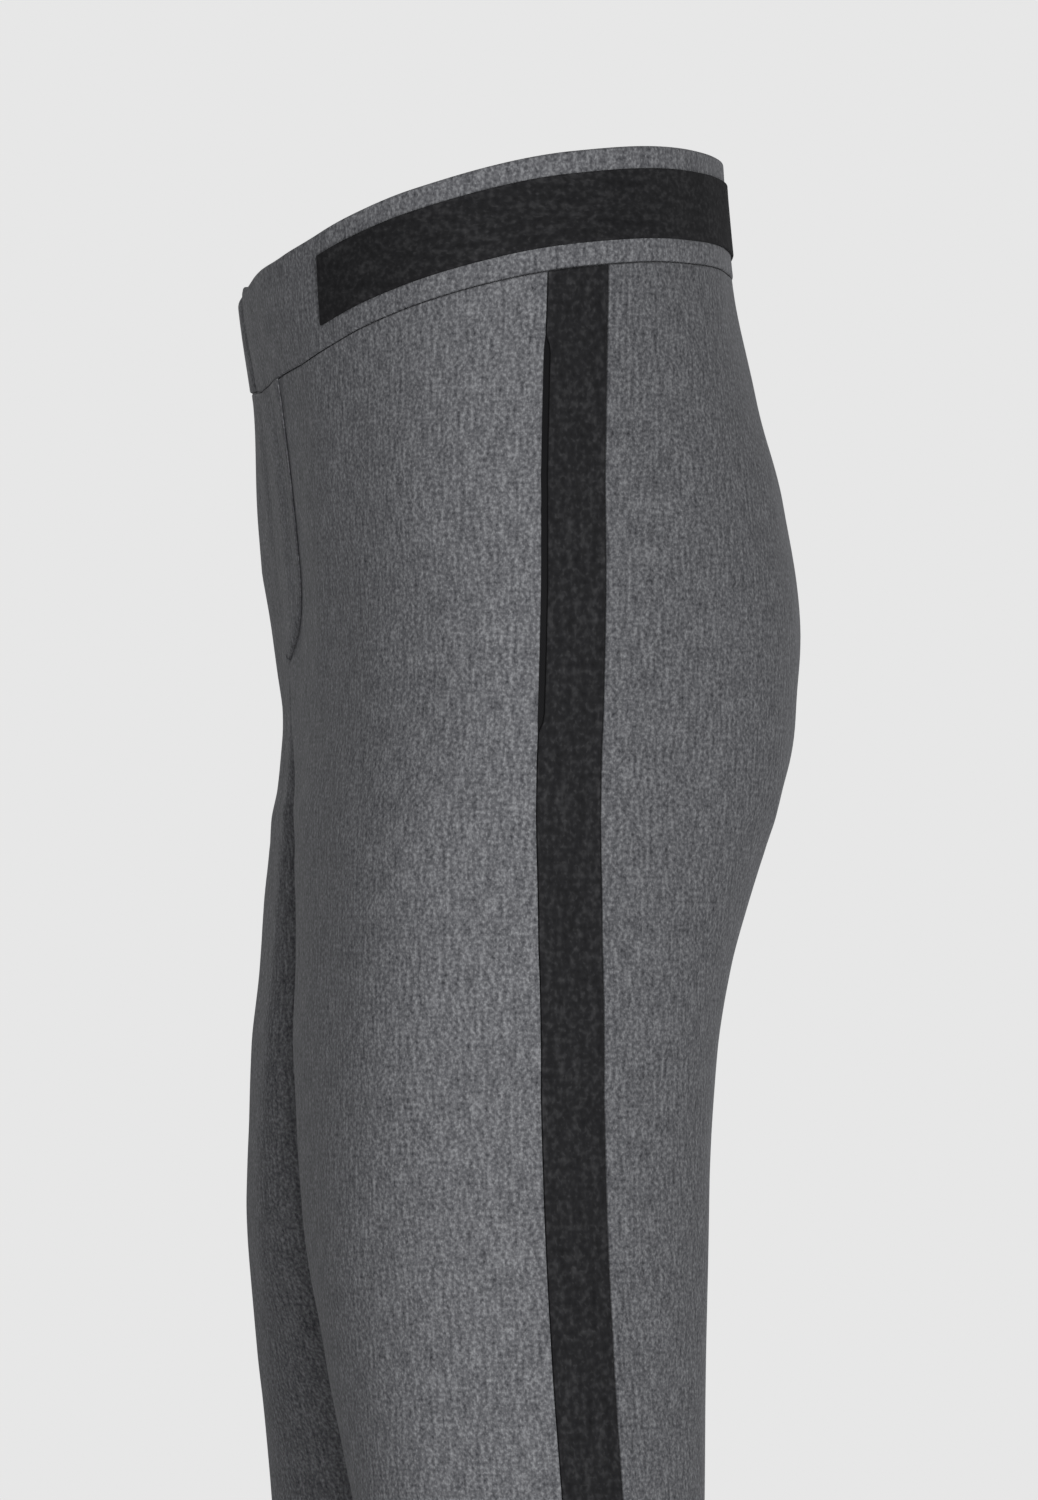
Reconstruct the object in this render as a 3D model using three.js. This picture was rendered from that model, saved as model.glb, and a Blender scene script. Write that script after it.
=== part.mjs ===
import * as THREE from 'three';

// Straight-leg trousers, hollow and filled out as worn. Sizes are in millimetres and +Z is up.
// The front faces -Y and the wearer's left is +X. Heights in the tables are above the crotch point,
// and the finished group is lowered by WAIST_HEIGHT, so that the origin lies in the middle of the waist.

const WAIST_HEIGHT = 235;
const HEM_HEIGHT = -780;

const GAP = 0.3; // space left at every seam and under every layer
const CLOTH = 1.6; // wall of the wool cloth

const STRIPE_WIDTH = 23;

const BAND_HEIGHT = 43;
const BAND_PROUD = 0.5; // how far the band stands out from the panels' face
const BAND_THICKNESS = 2.6;
const BAND_LAP = 10; // the left end passes the centre front by this much
const FLY_LAP = 5; // and the fly lap by this much
const TONGUE_LENGTH = 30; // the right end runs on behind the left one
const TONGUE_STEP = 3.4; // run in which the right end drops behind the left one

const TAPE_START = 92; // distance from the centre front to the tape's cut end
const TAPE_BELOW_TOP = 8.5;
const TAPE_WIDTH = 26;
const TAPE_THICKNESS = 1;

const MOUTH_TOP = 185;
const MOUTH_BOTTOM = 40;
const MOUTH_SETBACK = 2; // the front panel's edge stands back from the stripe along the pocket mouth
const MOUTH_RAMP = 5; // height in which the mouth opens at each end
const POCKET_BOTTOM = -20;
const POCKET_FIRST_COLUMN = 3; // grid column of the front panel where the bag ends

const FLY_WIDTH = 36;
const FLY_BOTTOM_SHARE = 0.415; // of the rise at the centre front
const FLY_THICKNESS = 1.2;
const FLY_TIP_SHARE = 0.14; // width left at the lower end of the J
const FLY_ROOM = 0.5; // between the lap and the panels, because its rounded end crosses their grid
const ZIP_HALF_WIDTH = 13;
const ZIP_THICKNESS = 1.2;
const SHIELD_EDGES = [-10, 30]; // on the right and on the left of the centre front
const CENTRE = 0.01; // just on the left of the middle plane

const HEM_DEPTH = 40;

// Horizontal sections of the left half. outer and inner are the x of its widest and innermost points,
// sideY and innerY their y. frontX and backX are the x of its foremost and rearmost points, frontY and
// backY their y. stripeY is the y of the side stripe's middle. The powers give each half's roundness,
// where 2 is an ellipse. Above the crotch a section is cut off at the middle plane.
const SECTION_COLUMNS = [
  'height', 'outer', 'inner', 'frontX', 'backX', 'frontY', 'backY',
  'sideY', 'innerY', 'stripeY', 'frontPower', 'backPower',
];
const SECTION_ROWS = [
  [-780, 178, 55, 116, 116, -46, 76, 15, 15, 26, 2.1, 2.1],
  [-560, 172, 52, 112, 112, -49, 70, 10, 10, 22, 2.1, 2.1],
  [-340, 166, 46, 106, 106, -54, 63, 6, 6, 18, 2.1, 2.1],
  [-250, 165, 38, 101, 102, -62, 65, 6, 4, 14.5, 2.3, 2.1],
  [-192, 166, 31, 84, 97, -71, 66, 4, 2, 10.2, 2.6, 2.15],
  [-134, 167, 23, 67, 90, -77.8, 68.2, 4, 2, 7, 2.8, 2.2],
  [-76, 168, 16, 50, 82, -78.9, 72.8, 6, 4, 5.2, 2.9, 2.25],
  [-45, 169, 13, 47, 78, -77.1, 78.4, 7, 6, 4.5, 2.9, 2.3],
  [-20, 171, 8, 48, 74, -76.6, 85.4, 8, 8, 3.8, 2.9, 2.3],
  [0, 173, 0, 44, 68, -76, 92.6, 8, 8, 3, 2.8, 2.35],
  [12, 174, -7, 32, 65, -76.4, 98, 8, 8, 2.7, 2.7, 2.35],
  [25, 175, -18, 27, 62, -74.9, 102.4, 8, 8, 2.7, 2.6, 2.3],
  [50, 176, -60, 14, 54, -73.8, 107.6, 8, 8, 3.5, 2.55, 2.25],
  [85, 175, -110, 4, 42, -74.5, 111.5, 8, 6, 4.6, 2.6, 2.2],
  [130, 169, -130, 8, 22, -78.3, 108.2, 6, 4, 5.8, 2.6, 2.2],
  [170, 161, -135, 0, 6, -83.2, 100, 4, 2, 8, 2.35, 2.2],
  [215, 152, -140, 0, 0, -90.5, 92, 2, 0, 11, 2.2, 2.2],
  [262, 148, -140, 0, 0, -93, 88.2, 0, 0, 12, 2.2, 2.2],
];

// Height of the waistband's top edge. around is -1 at the centre front, 0 at the side and 1 at the back.
const WAIST_COLUMNS = ['around', 'top'];
const WAIST_ROWS = [
  [-1, 212], [-0.85, 217.5], [-0.62, 225], [-0.3, 240.2], [0, 253.6], [0.25, 257.8], [0.6, 259.4],
  [1, 258.8],
];
// Height of the waistband, which narrows towards its front end.
const BAND_COLUMNS = ['around', 'height'];
const BAND_ROWS = [[-1, 36.5], [-0.8, 40.5], [-0.6, BAND_HEIGHT], [1, BAND_HEIGHT]];

// The right leg stands this far behind the left one, or in front of it where the value is negative.
const STRIDE_COLUMNS = ['height', 'shift'];
const STRIDE_ROWS = [
  [-780, -12], [-250, -3.7], [-192, -1.7], [-134, -0.2], [-76, 1.5], [-20, 4], [15, 5.6], [45, 5.6],
  [75, 3.5], [110, 0],
];
const STRIDE_BLEND = 50; // x at which the shift is whole, because both halves meet at the middle plane

// Soft folds along straight lines over the cloth. lift is out from the body, so a trough is negative,
// and reach is the distance at which a fold has almost died out.
const FOLD_COLUMNS = ['fromAround', 'fromHeight', 'toAround', 'toHeight', 'reach', 'lift'];
const FOLD_ROWS = {
  left: [
    [-0.77, 205, -0.79, 35, 14, -3], // beside the fly
    [-0.62, 190, -0.6, -95, 24, 1.6], // front ridge of hip and thigh
    [-0.9, 22, -0.5, 76, 12, -0.9], // drag lines from the crotch
    [-0.9, -30, -0.56, 14, 12, 0.8],
    [0.94, -8, 0.46, 20, 13, -3], // under the seat
    [0.9, -44, 0.52, -12, 14, -1.8],
    [0.86, -326, 0.3, -352, 16, -2.4], // behind the knee
    [0.82, -388, 0.36, -372, 14, -1.9],
    [-0.56, -410, -0.5, -735, 20, 1.6], // down the shin
    [-0.92, -742, -0.3, -728, 13, -2.2], // break above the hem
  ],
  right: [
    [-0.75, 200, -0.78, 42, 14, -2.6],
    [-0.6, 184, -0.62, -80, 24, 1.5],
    [-0.9, 24, -0.54, 70, 12, -0.8],
    [-0.88, -26, -0.58, 20, 12, 0.8],
    [0.93, -4, 0.5, 26, 13, -2.7],
    [0.88, -50, 0.56, -20, 14, -2],
    [0.84, -334, 0.34, -346, 16, -2.1],
    [0.8, -380, 0.4, -392, 14, -2.2],
    [-0.5, -420, -0.54, -720, 20, 1.5],
    [-0.88, -736, -0.34, -744, 13, -2],
  ],
};

// Grid lines. Leg rows are heights, and rise rows are shares of the height from crotch to waist seam.
const LEG_ROWS = [
  -780, -740, -690, -630, -565, -500, -440, -390, -340, -295, -250, -221, -192, -163, -134, -105,
  -76, -56, -40, -27, -16, -8, -3, 0,
];
const RISE_ROWS = [
  0.004, 0.014, 0.032, 0.06, 0.1, 0.155, 0.22, 0.3, 0.36, FLY_BOTTOM_SHARE, 0.47, 0.53, 0.6, 0.7, 0.8, 0.9, 1,
];
const FRONT_STEPS = 8; // from the stripe to the fly line
const FLY_STEPS = 3; // from the fly line to the centre front
const BACK_STEPS = 8; // from the stripe to the seat line
const SEAT_STEPS = 3; // from the seat line to the centre back
const BAND_STEPS = 7; // on the front beside the tape
const BAND_LEVELS = [0, 0.2, 0.5, 0.81, 1];
const TAPE_FRONT_STEPS = 8;
const TAPE_BACK_STEPS = 15;
const SHIELD_STEPS = 3; // on the left of the centre front
const SECTION_STEPS = 480;
const HEIGHT_PASSES = 6; // in which a grid point settles on a slanted row
const CROTCH_BLEND_TOP = 70;
const CROTCH_BLEND_BOTTOM = -76;
const INSEAM_MARGIN = 70; // from the fly line's and seat line's lower ends to the inseam

const NORMAL_ANGLE = 0.01;
const NORMAL_HEIGHT = 1;

// Smooth curve through a table's column with no overshoot between rows (monotone cubic).
function curveThrough(xs, ys) {
  const count = xs.length;
  const widths = xs.slice(1).map((x, i) => x - xs[i]);
  const slopes = widths.map((width, i) => (ys[i + 1] - ys[i]) / width);
  const tangents = ys.map((_, i) => {
    if (i === 0) return slopes[0];
    if (i === count - 1) return slopes[count - 2];
    if (slopes[i - 1] * slopes[i] <= 0) return 0;
    const before = 2 * widths[i] + widths[i - 1];
    const after = widths[i] + 2 * widths[i - 1];
    return (before + after) / (before / slopes[i - 1] + after / slopes[i]);
  });
  return (x) => {
    const inside = Math.min(Math.max(x, xs[0]), xs[count - 1]);
    let i = 0;
    while (i < count - 2 && inside > xs[i + 1]) i += 1;
    const s = (inside - xs[i]) / widths[i];
    const rise = (3 - 2 * s) * s * s;
    const start = s * (1 - s) ** 2 * widths[i] * tangents[i];
    const end = s * s * (s - 1) * widths[i] * tangents[i + 1];
    return ys[i] + (ys[i + 1] - ys[i]) * rise + start + end;
  };
}

function tableCurves(columns, rows) {
  const xs = rows.map((row) => row[0]);
  const curves = {};
  columns.slice(1).forEach((name, i) => {
    curves[name] = curveThrough(xs, rows.map((row) => row[i + 1]));
  });
  return curves;
}

const sectionCurves = tableCurves(SECTION_COLUMNS, SECTION_ROWS);
const waistTop = tableCurves(WAIST_COLUMNS, WAIST_ROWS).top;
const bandHigh = tableCurves(BAND_COLUMNS, BAND_ROWS).height;
const strideShift = tableCurves(STRIDE_COLUMNS, STRIDE_ROWS).shift;
const folds = {};
for (const side of ['left', 'right']) {
  folds[side] = FOLD_ROWS[side].map((row) =>
    Object.fromEntries(FOLD_COLUMNS.map((name, i) => [name, row[i]])));
}

// Point of a section at an angle: 0 at the outer side, negative over the front, positive over the back.
function sectionPoint(section, angle) {
  const c = Math.cos(angle);
  const s = Math.sin(angle);
  const power = s < 0 ? section.frontPower : section.backPower;
  const middle = s < 0 ? section.frontX : section.backX;
  const level = c < 0 ? section.innerY : section.sideY;
  const across = c < 0 ? middle - section.inner : section.outer - middle;
  const deep = s < 0 ? level - section.frontY : section.backY - level;
  return [
    middle + across * Math.sign(c) * Math.abs(c) ** (2 / power),
    level + deep * Math.sign(s) * Math.abs(s) ** (2 / power),
  ];
}

// Angle at which the front or back half of a section meets the middle plane, or its inseam.
function endAngle(section, middle, power) {
  if (section.inner >= 0) return Math.PI;
  return Math.acos(-((middle / (middle - section.inner)) ** (power / 2)));
}

// A section with its length measured along the cloth from the stripe's middle.
const sectionStore = new Map();
function sectionAt(height) {
  const key = Math.round(height * 1000);
  if (sectionStore.has(key)) return sectionStore.get(key);
  const section = { height };
  for (const name of SECTION_COLUMNS.slice(1)) section[name] = sectionCurves[name](height);
  const first = -endAngle(section, section.frontX, section.frontPower);
  const last = endAngle(section, section.backX, section.backPower);
  const behind = (section.stripeY - section.sideY) / (section.backY - section.sideY);
  const ahead = (section.sideY - section.stripeY) / (section.sideY - section.frontY);
  const stripeAngle = behind > 0
    ? Math.asin(behind ** (section.backPower / 2))
    : -Math.asin(ahead ** (section.frontPower / 2));
  section.angles = [];
  section.lengths = [];
  let length = 0;
  let before = null;
  for (let i = 0; i <= SECTION_STEPS; i += 1) {
    const angle = first + ((last - first) * i) / SECTION_STEPS;
    const [x, y] = sectionPoint(section, angle);
    if (before) length += Math.hypot(x - before[0], y - before[1]);
    before = [x, y];
    section.angles.push(angle);
    section.lengths.push(length);
  }
  const place = ((stripeAngle - first) / (last - first)) * SECTION_STEPS;
  const step = Math.floor(place);
  const stripeLength = THREE.MathUtils.lerp(
    section.lengths[step], section.lengths[step + 1], place - step,
  );
  section.lengths = section.lengths.map((value) => value - stripeLength);
  section.frontLength = stripeLength;
  section.backLength = length - stripeLength;
  sectionStore.set(key, section);
  return section;
}

function angleAtLength(section, length) {
  const { lengths, angles } = section;
  let low = 0;
  let high = lengths.length - 1;
  while (high - low > 1) {
    const half = (low + high) >> 1;
    if (lengths[half] <= length) low = half;
    else high = half;
  }
  const share = (length - lengths[low]) / (lengths[high] - lengths[low]);
  return angles[low] + (angles[high] - angles[low]) * Math.min(Math.max(share, 0), 1);
}

function aroundAt(section, length) {
  return length < 0 ? length / section.frontLength : length / section.backLength;
}

// Height of the folds at a place, each a rounded line that dies out sideways and towards its ends.
function foldLift(side, section, length) {
  const around = aroundAt(section, length);
  const scale = around < 0 ? section.frontLength : section.backLength;
  let lift = 0;
  for (const fold of folds[side]) {
    const runX = (fold.toAround - fold.fromAround) * scale;
    const runY = fold.toHeight - fold.fromHeight;
    const x = (around - fold.fromAround) * scale;
    const y = section.height - fold.fromHeight;
    const run = Math.hypot(runX, runY);
    const along = (x * runX + y * runY) / (run * run);
    const aside = (x * runY - y * runX) / run;
    if (along <= 0 || along >= 1) continue;
    lift += fold.lift * 4 * along * (1 - along) * Math.exp(-((aside / fold.reach) ** 2));
  }
  return lift;
}

// Point of one half, `length` along the cloth from the stripe's middle and `offset` out from its face.
// Where `keepSide` is set the point stays on its own side of the middle plane.
function clothPoint(side, height, length, offset, keepSide = true) {
  const section = sectionAt(height);
  const angle = angleAtLength(section, length);
  const above = sectionAt(height + NORMAL_HEIGHT);
  const below = sectionAt(height - NORMAL_HEIGHT);
  const [x, y] = sectionPoint(section, angle);
  const [xAhead, yAhead] = sectionPoint(section, angle + NORMAL_ANGLE);
  const [xBack, yBack] = sectionPoint(section, angle - NORMAL_ANGLE);
  const [xUp, yUp] = sectionPoint(above, angle);
  const [xDown, yDown] = sectionPoint(below, angle);
  const along = new THREE.Vector3(xAhead - xBack, yAhead - yBack, 0);
  const upward = new THREE.Vector3(xUp - xDown, yUp - yDown, 2 * NORMAL_HEIGHT);
  const normal = along.cross(upward).normalize();
  const out = offset + foldLift(side, section, length);
  const point = new THREE.Vector3(x, y, height).addScaledVector(normal, out);
  if (keepSide) point.x = Math.max(point.x, GAP / 2);
  if (side === 'right') {
    point.y += strideShift(height) * THREE.MathUtils.smoothstep(point.x, 0, STRIDE_BLEND);
    point.x = -point.x;
  }
  return point;
}

function seamHeight(around) {
  return waistTop(around) - bandHigh(around);
}

// Height of a panel's grid row in one of its columns, which is a length that changes with the height.
function rowHeight(row, column) {
  if (row.height !== undefined) return row.height;
  let height = row.rise * seamHeight(0);
  for (let pass = 0; pass < HEIGHT_PASSES; pass += 1) {
    const around = aroundAt(sectionAt(height), column(height));
    height = row.rise * seamHeight(around) - (row.rise === 1 ? GAP / 2 : 0);
  }
  return height;
}

const legRows = LEG_ROWS.map((height) => ({ height }));
const riseRows = RISE_ROWS.map((rise) => ({ rise }));
const panelRows = [...legRows, ...riseRows];

// Closed wall between an outer and an inner grid of points. place(row, column, layer) gives a point.
function wallGeometry(rowCount, columnCount, place, { flip = false, ring = false } = {}) {
  const positions = [];
  for (const layer of ['outer', 'inner']) {
    for (let row = 0; row < rowCount; row += 1) {
      for (let column = 0; column < columnCount; column += 1) {
        positions.push(...place(row, column, layer).toArray());
      }
    }
  }
  const layerSize = rowCount * columnCount;
  const at = (row, column) => row * columnCount + (column % columnCount);
  const index = [];
  const quad = (a, b, c, d) => {
    if (flip) index.push(a, c, b, a, d, c);
    else index.push(a, b, c, a, c, d);
  };
  const spans = ring ? columnCount : columnCount - 1;
  for (let row = 0; row < rowCount - 1; row += 1) {
    for (let column = 0; column < spans; column += 1) {
      const a = at(row, column);
      const b = at(row, column + 1);
      const c = at(row + 1, column + 1);
      const d = at(row + 1, column);
      quad(a, b, c, d);
      quad(a + layerSize, d + layerSize, c + layerSize, b + layerSize);
    }
  }
  for (let column = 0; column < spans; column += 1) {
    const low = [at(0, column), at(0, column + 1)];
    const high = [at(rowCount - 1, column), at(rowCount - 1, column + 1)];
    quad(low[1], low[0], low[0] + layerSize, low[1] + layerSize);
    quad(high[0], high[1], high[1] + layerSize, high[0] + layerSize);
  }
  for (let row = 0; row < rowCount - 1 && !ring; row += 1) {
    const first = [at(row, 0), at(row + 1, 0)];
    const last = [at(row, columnCount - 1), at(row + 1, columnCount - 1)];
    quad(first[0], first[1], first[1] + layerSize, first[0] + layerSize);
    quad(last[1], last[0], last[0] + layerSize, last[1] + layerSize);
  }
  const geometry = new THREE.BufferGeometry();
  geometry.setAttribute('position', new THREE.Float32BufferAttribute(positions, 3));
  geometry.setIndex(index);
  geometry.computeVertexNormals();
  return geometry;
}

function spread(from, to, steps) {
  return Array.from({ length: steps + 1 }, (_, i) => from + ((to - from) * i) / steps);
}

// Columns are functions from a height to a length along the cloth.
const between = (from, to, share) => (height) => from(height) + (to(height) - from(height)) * share;
const constant = (length) => () => length;
const fromFront = (distance) => (height) => distance - sectionAt(height).frontLength;
const fromBack = (distance) => (height) => sectionAt(height).backLength - distance;

function mouthSetback(height) {
  const top = 1 - THREE.MathUtils.smoothstep(height, MOUTH_TOP - MOUTH_RAMP, MOUTH_TOP);
  const bottom = THREE.MathUtils.smoothstep(height, MOUTH_BOTTOM, MOUTH_BOTTOM + MOUTH_RAMP);
  return MOUTH_SETBACK * top * bottom;
}

// Length that keeps one distance above the crotch and another below it, with a smooth way between, so
// that the grid doesn't jump where the inseam starts. The last columns beside it take up the change.
function pastCrotch(above, below) {
  return (height) => {
    if (height >= CROTCH_BLEND_TOP) return above(height);
    if (height <= CROTCH_BLEND_BOTTOM) return below(height);
    const share = THREE.MathUtils.smoothstep(height, CROTCH_BLEND_BOTTOM, CROTCH_BLEND_TOP);
    return THREE.MathUtils.lerp(below(CROTCH_BLEND_BOTTOM), above(CROTCH_BLEND_TOP), share);
  };
}

const frontEdge = (height) => -(STRIPE_WIDTH / 2 + GAP + mouthSetback(height));
const flyLine = pastCrotch(fromFront(FLY_WIDTH), fromFront(INSEAM_MARGIN));
const seatLine = pastCrotch(fromBack(FLY_WIDTH), fromBack(INSEAM_MARGIN));
const centreFront = fromFront(GAP / 2);
const centreBack = fromBack(GAP / 2);

const flyColumns = spread(0, 1, FLY_STEPS).map((share) => between(centreFront, flyLine, share));
const sideColumns = spread(0, 1, FRONT_STEPS).map((share) => between(flyLine, frontEdge, share));
const frontColumns = [...flyColumns, ...sideColumns.slice(1)];
const backEdge = constant(STRIPE_WIDTH / 2 + GAP);
const backColumns = [
  ...spread(0, 1, BACK_STEPS).map((share) => between(backEdge, seatLine, share)),
  ...spread(0, 1, SEAT_STEPS).slice(1).map((share) => between(seatLine, centreBack, share)),
];
const stripeColumns = spread(-STRIPE_WIDTH / 2, STRIPE_WIDTH / 2, 2).map(constant);

const wool = { roughness: 0.92, metalness: 0 };
const greyWool = new THREE.MeshStandardMaterial({ color: '#6b6c70', ...wool });
const darkWool = new THREE.MeshStandardMaterial({ color: '#29292b', ...wool });
const bandWool = new THREE.MeshStandardMaterial({ color: '#606165', ...wool });
const pocketing = new THREE.MeshStandardMaterial({ color: '#2c2c2f', roughness: 0.85, metalness: 0 });
const zipTape = new THREE.MeshStandardMaterial({ color: '#1d1d1f', roughness: 0.7, metalness: 0 });

const trousers = new THREE.Group();
trousers.name = 'trousers';
trousers.position.z = -WAIST_HEIGHT;

function addPiece(name, geometry, material) {
  const mesh = new THREE.Mesh(geometry, material);
  mesh.name = name;
  trousers.add(mesh);
}

// Panel cut from the rows and columns of one half, between two offsets from its face.
function halfPanel(side, rows, columns, outer, inner) {
  return wallGeometry(rows.length, columns.length, (row, column, layer) => {
    const height = rowHeight(rows[row], columns[column]);
    return clothPoint(side, height, columns[column](height), layer === 'outer' ? outer : inner);
  }, { flip: side === 'right' });
}

// Pocket bag behind the front panel. Its dark edge shows in the pocket mouth.
function pocketBag(side) {
  const rows = [...legRows.filter((row) => row.height >= POCKET_BOTTOM), ...riseRows];
  const behindStripe = [-STRIPE_WIDTH / 2, 0].map(constant);
  const columns = [...sideColumns.slice(POCKET_FIRST_COLUMN), ...behindStripe];
  const outer = -(CLOTH + GAP);
  return halfPanel(side, rows, columns, outer, outer - CLOTH);
}

const flyRows = riseRows.filter((row) => row.rise >= FLY_BOTTOM_SHARE);

// Strip behind or over the fly. distances gives how far each column lies from the centre front in a
// row, positive on the left, and outer and inner are offsets from the panels' face.
function frontStrip(distances, outer, inner) {
  return wallGeometry(flyRows.length, distances.length, (row, column, layer) => {
    const distance = distances[column](row);
    const side = distance < 0 ? 'right' : 'left';
    const place = fromFront(Math.abs(distance));
    const height = rowHeight(flyRows[row], place);
    return clothPoint(side, height, place(height), layer === 'outer' ? outer : inner, false);
  });
}

// Fly lap over the fronts. Its inner line runs down beside the centre front and rounds off to a J.
function flyLap() {
  const roundShare = (row) => {
    const down = FLY_WIDTH - (flyRows[row].rise - FLY_BOTTOM_SHARE) * seamHeight(-1);
    return Math.max(Math.sqrt(1 - (Math.max(down, 0) / FLY_WIDTH) ** 2), FLY_TIP_SHARE);
  };
  const shares = spread(0, 1, FLY_STEPS);
  const distances = [
    (row) => -FLY_LAP * roundShare(row),
    ...shares.map((share) => (row) => CENTRE + (FLY_WIDTH - GAP) * share * roundShare(row)),
  ];
  return frontStrip(distances, FLY_ROOM + FLY_THICKNESS, FLY_ROOM);
}

function zipStrip() {
  const outer = -(CLOTH + GAP);
  const distances = [-ZIP_HALF_WIDTH, CENTRE, ZIP_HALF_WIDTH].map(constant);
  return frontStrip(distances, outer, outer - ZIP_THICKNESS);
}

function flyShield() {
  const outer = -(CLOTH + ZIP_THICKNESS + 2 * GAP);
  const distances = [SHIELD_EDGES[0], ...spread(CENTRE, SHIELD_EDGES[1], SHIELD_STEPS)].map(constant);
  return frontStrip(distances, outer, outer - CLOTH);
}

// Height in the waistband, a share of the way up from the waist seam, where a column crosses it.
function bandHeight(column, share) {
  let height = waistTop(0);
  for (let pass = 0; pass < HEIGHT_PASSES; pass += 1) {
    const around = aroundAt(sectionAt(height), column(height));
    height = seamHeight(around) + GAP / 2 + (bandHigh(around) - GAP / 2) * share;
  }
  return height;
}

const tapeColumns = [
  ...spread(0, 1, TAPE_FRONT_STEPS).map((share) => between(fromFront(TAPE_START), constant(0), share)),
  ...spread(0, 1, TAPE_BACK_STEPS).slice(1).map((share) => between(constant(0), centreBack, share)),
];

// Columns of the waistband from its front end. Each has a side, a column and an outer offset.
function bandColumns(side) {
  const other = side === 'left' ? 'right' : 'left';
  const onFace = (column) => ({ side, column, offset: BAND_PROUD });
  const besideTape = (start) =>
    spread(start, TAPE_START, BAND_STEPS).slice(0, -1).map((distance) => onFace(fromFront(distance)));
  const rest = tapeColumns.map(onFace);
  if (side === 'left') {
    const lap = { side: other, column: fromFront(BAND_LAP), offset: BAND_PROUD };
    return [lap, ...besideTape(CENTRE), ...rest];
  }
  const offset = BAND_PROUD - BAND_THICKNESS - GAP;
  const tongue = [TONGUE_LENGTH, TONGUE_LENGTH / 2, CENTRE].map((distance) =>
    ({ side: other, column: fromFront(distance), offset }));
  const step = { side, column: fromFront(BAND_LAP + GAP), offset };
  return [...tongue, step, ...besideTape(BAND_LAP + GAP + TONGUE_STEP), ...rest];
}

function waistband(side) {
  const columns = bandColumns(side);
  return wallGeometry(BAND_LEVELS.length, columns.length, (row, place, layer) => {
    const { side: half, column, offset } = columns[place];
    const height = bandHeight(column, BAND_LEVELS[row]);
    const length = column(height);
    const out = layer === 'outer' ? offset : offset - BAND_THICKNESS;
    return clothPoint(half, height, length, out, length > 0);
  }, { flip: side === 'right' });
}

// Dark tape that lies on the waistband, from its cut front end round to the centre back.
function waistTape(side) {
  const top = 1 - TAPE_BELOW_TOP / BAND_HEIGHT;
  const shares = spread(top - TAPE_WIDTH / BAND_HEIGHT, top, 2);
  return wallGeometry(shares.length, tapeColumns.length, (row, place, layer) => {
    const height = bandHeight(tapeColumns[place], shares[row]);
    const offset = BAND_PROUD + GAP + (layer === 'outer' ? TAPE_THICKNESS : 0);
    return clothPoint(side, height, tapeColumns[place](height), offset);
  }, { flip: side === 'right' });
}

// Turned-up hem: a ring inside the leg, with a little room to the panels.
function hemRing(side) {
  const levels = [HEM_HEIGHT, HEM_HEIGHT + HEM_DEPTH];
  const columns = [...frontColumns, ...stripeColumns, ...backColumns];
  const outer = -(CLOTH + GAP);
  return wallGeometry(levels.length, columns.length, (row, column, layer) => {
    const offset = layer === 'outer' ? outer : outer - CLOTH;
    return clothPoint(side, levels[row], columns[column](levels[row]), offset);
  }, { flip: side === 'right', ring: true });
}

for (const side of ['left', 'right']) {
  addPiece(`front_${side}`, halfPanel(side, panelRows, frontColumns, 0, -CLOTH), greyWool);
  addPiece(`back_${side}`, halfPanel(side, panelRows, backColumns, 0, -CLOTH), greyWool);
  addPiece(`stripe_${side}`, halfPanel(side, panelRows, stripeColumns, 0, -CLOTH), darkWool);
  addPiece(`pocket_bag_${side}`, pocketBag(side), pocketing);
  addPiece(`waistband_${side}`, waistband(side), bandWool);
  addPiece(`waist_tape_${side}`, waistTape(side), darkWool);
  addPiece(`hem_${side}`, hemRing(side), greyWool);
}
addPiece('fly_lap', flyLap(), greyWool);
addPiece('zip', zipStrip(), zipTape);
addPiece('fly_shield', flyShield(), greyWool);

export default trousers;
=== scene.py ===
import math

import bpy
import numpy as np
from bpy.props import FloatProperty, FloatVectorProperty, PointerProperty
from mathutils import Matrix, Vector


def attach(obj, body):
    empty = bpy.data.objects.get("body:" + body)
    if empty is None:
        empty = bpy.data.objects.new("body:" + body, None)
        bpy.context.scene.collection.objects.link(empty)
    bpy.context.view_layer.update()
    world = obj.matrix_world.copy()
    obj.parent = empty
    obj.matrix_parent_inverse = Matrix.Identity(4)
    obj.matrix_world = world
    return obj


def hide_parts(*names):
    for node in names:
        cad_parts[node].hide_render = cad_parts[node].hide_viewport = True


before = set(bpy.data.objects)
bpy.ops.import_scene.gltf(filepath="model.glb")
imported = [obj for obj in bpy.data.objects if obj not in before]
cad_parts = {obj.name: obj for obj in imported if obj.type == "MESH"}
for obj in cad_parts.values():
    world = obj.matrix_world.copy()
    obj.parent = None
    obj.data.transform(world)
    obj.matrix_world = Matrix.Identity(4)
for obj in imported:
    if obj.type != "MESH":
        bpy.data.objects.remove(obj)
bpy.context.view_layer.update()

# Straight-leg wool trousers with a dark side stripe, hollow and filled out as worn. The cutting tables
# are in millimetres, with heights above the crotch point. The front faces -Y and the wearer's left is
# +X. Finished meshes are in metres, with the origin in the middle of the waist.
# Lengths along the cloth start at the middle of the stripe: the front's are below 0, the back's above.

bl_info = {
    "name": "Straight-leg trousers",
    "version": (1, 0, 0),
    "blender": (4, 5, 0),
    "location": "3D View > Sidebar > Trousers",
    "description": "Makes hollow wool trousers with a side stripe, and a studio to show them in",
    "category": "Add Mesh",
}

# ---- The cut ----

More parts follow.
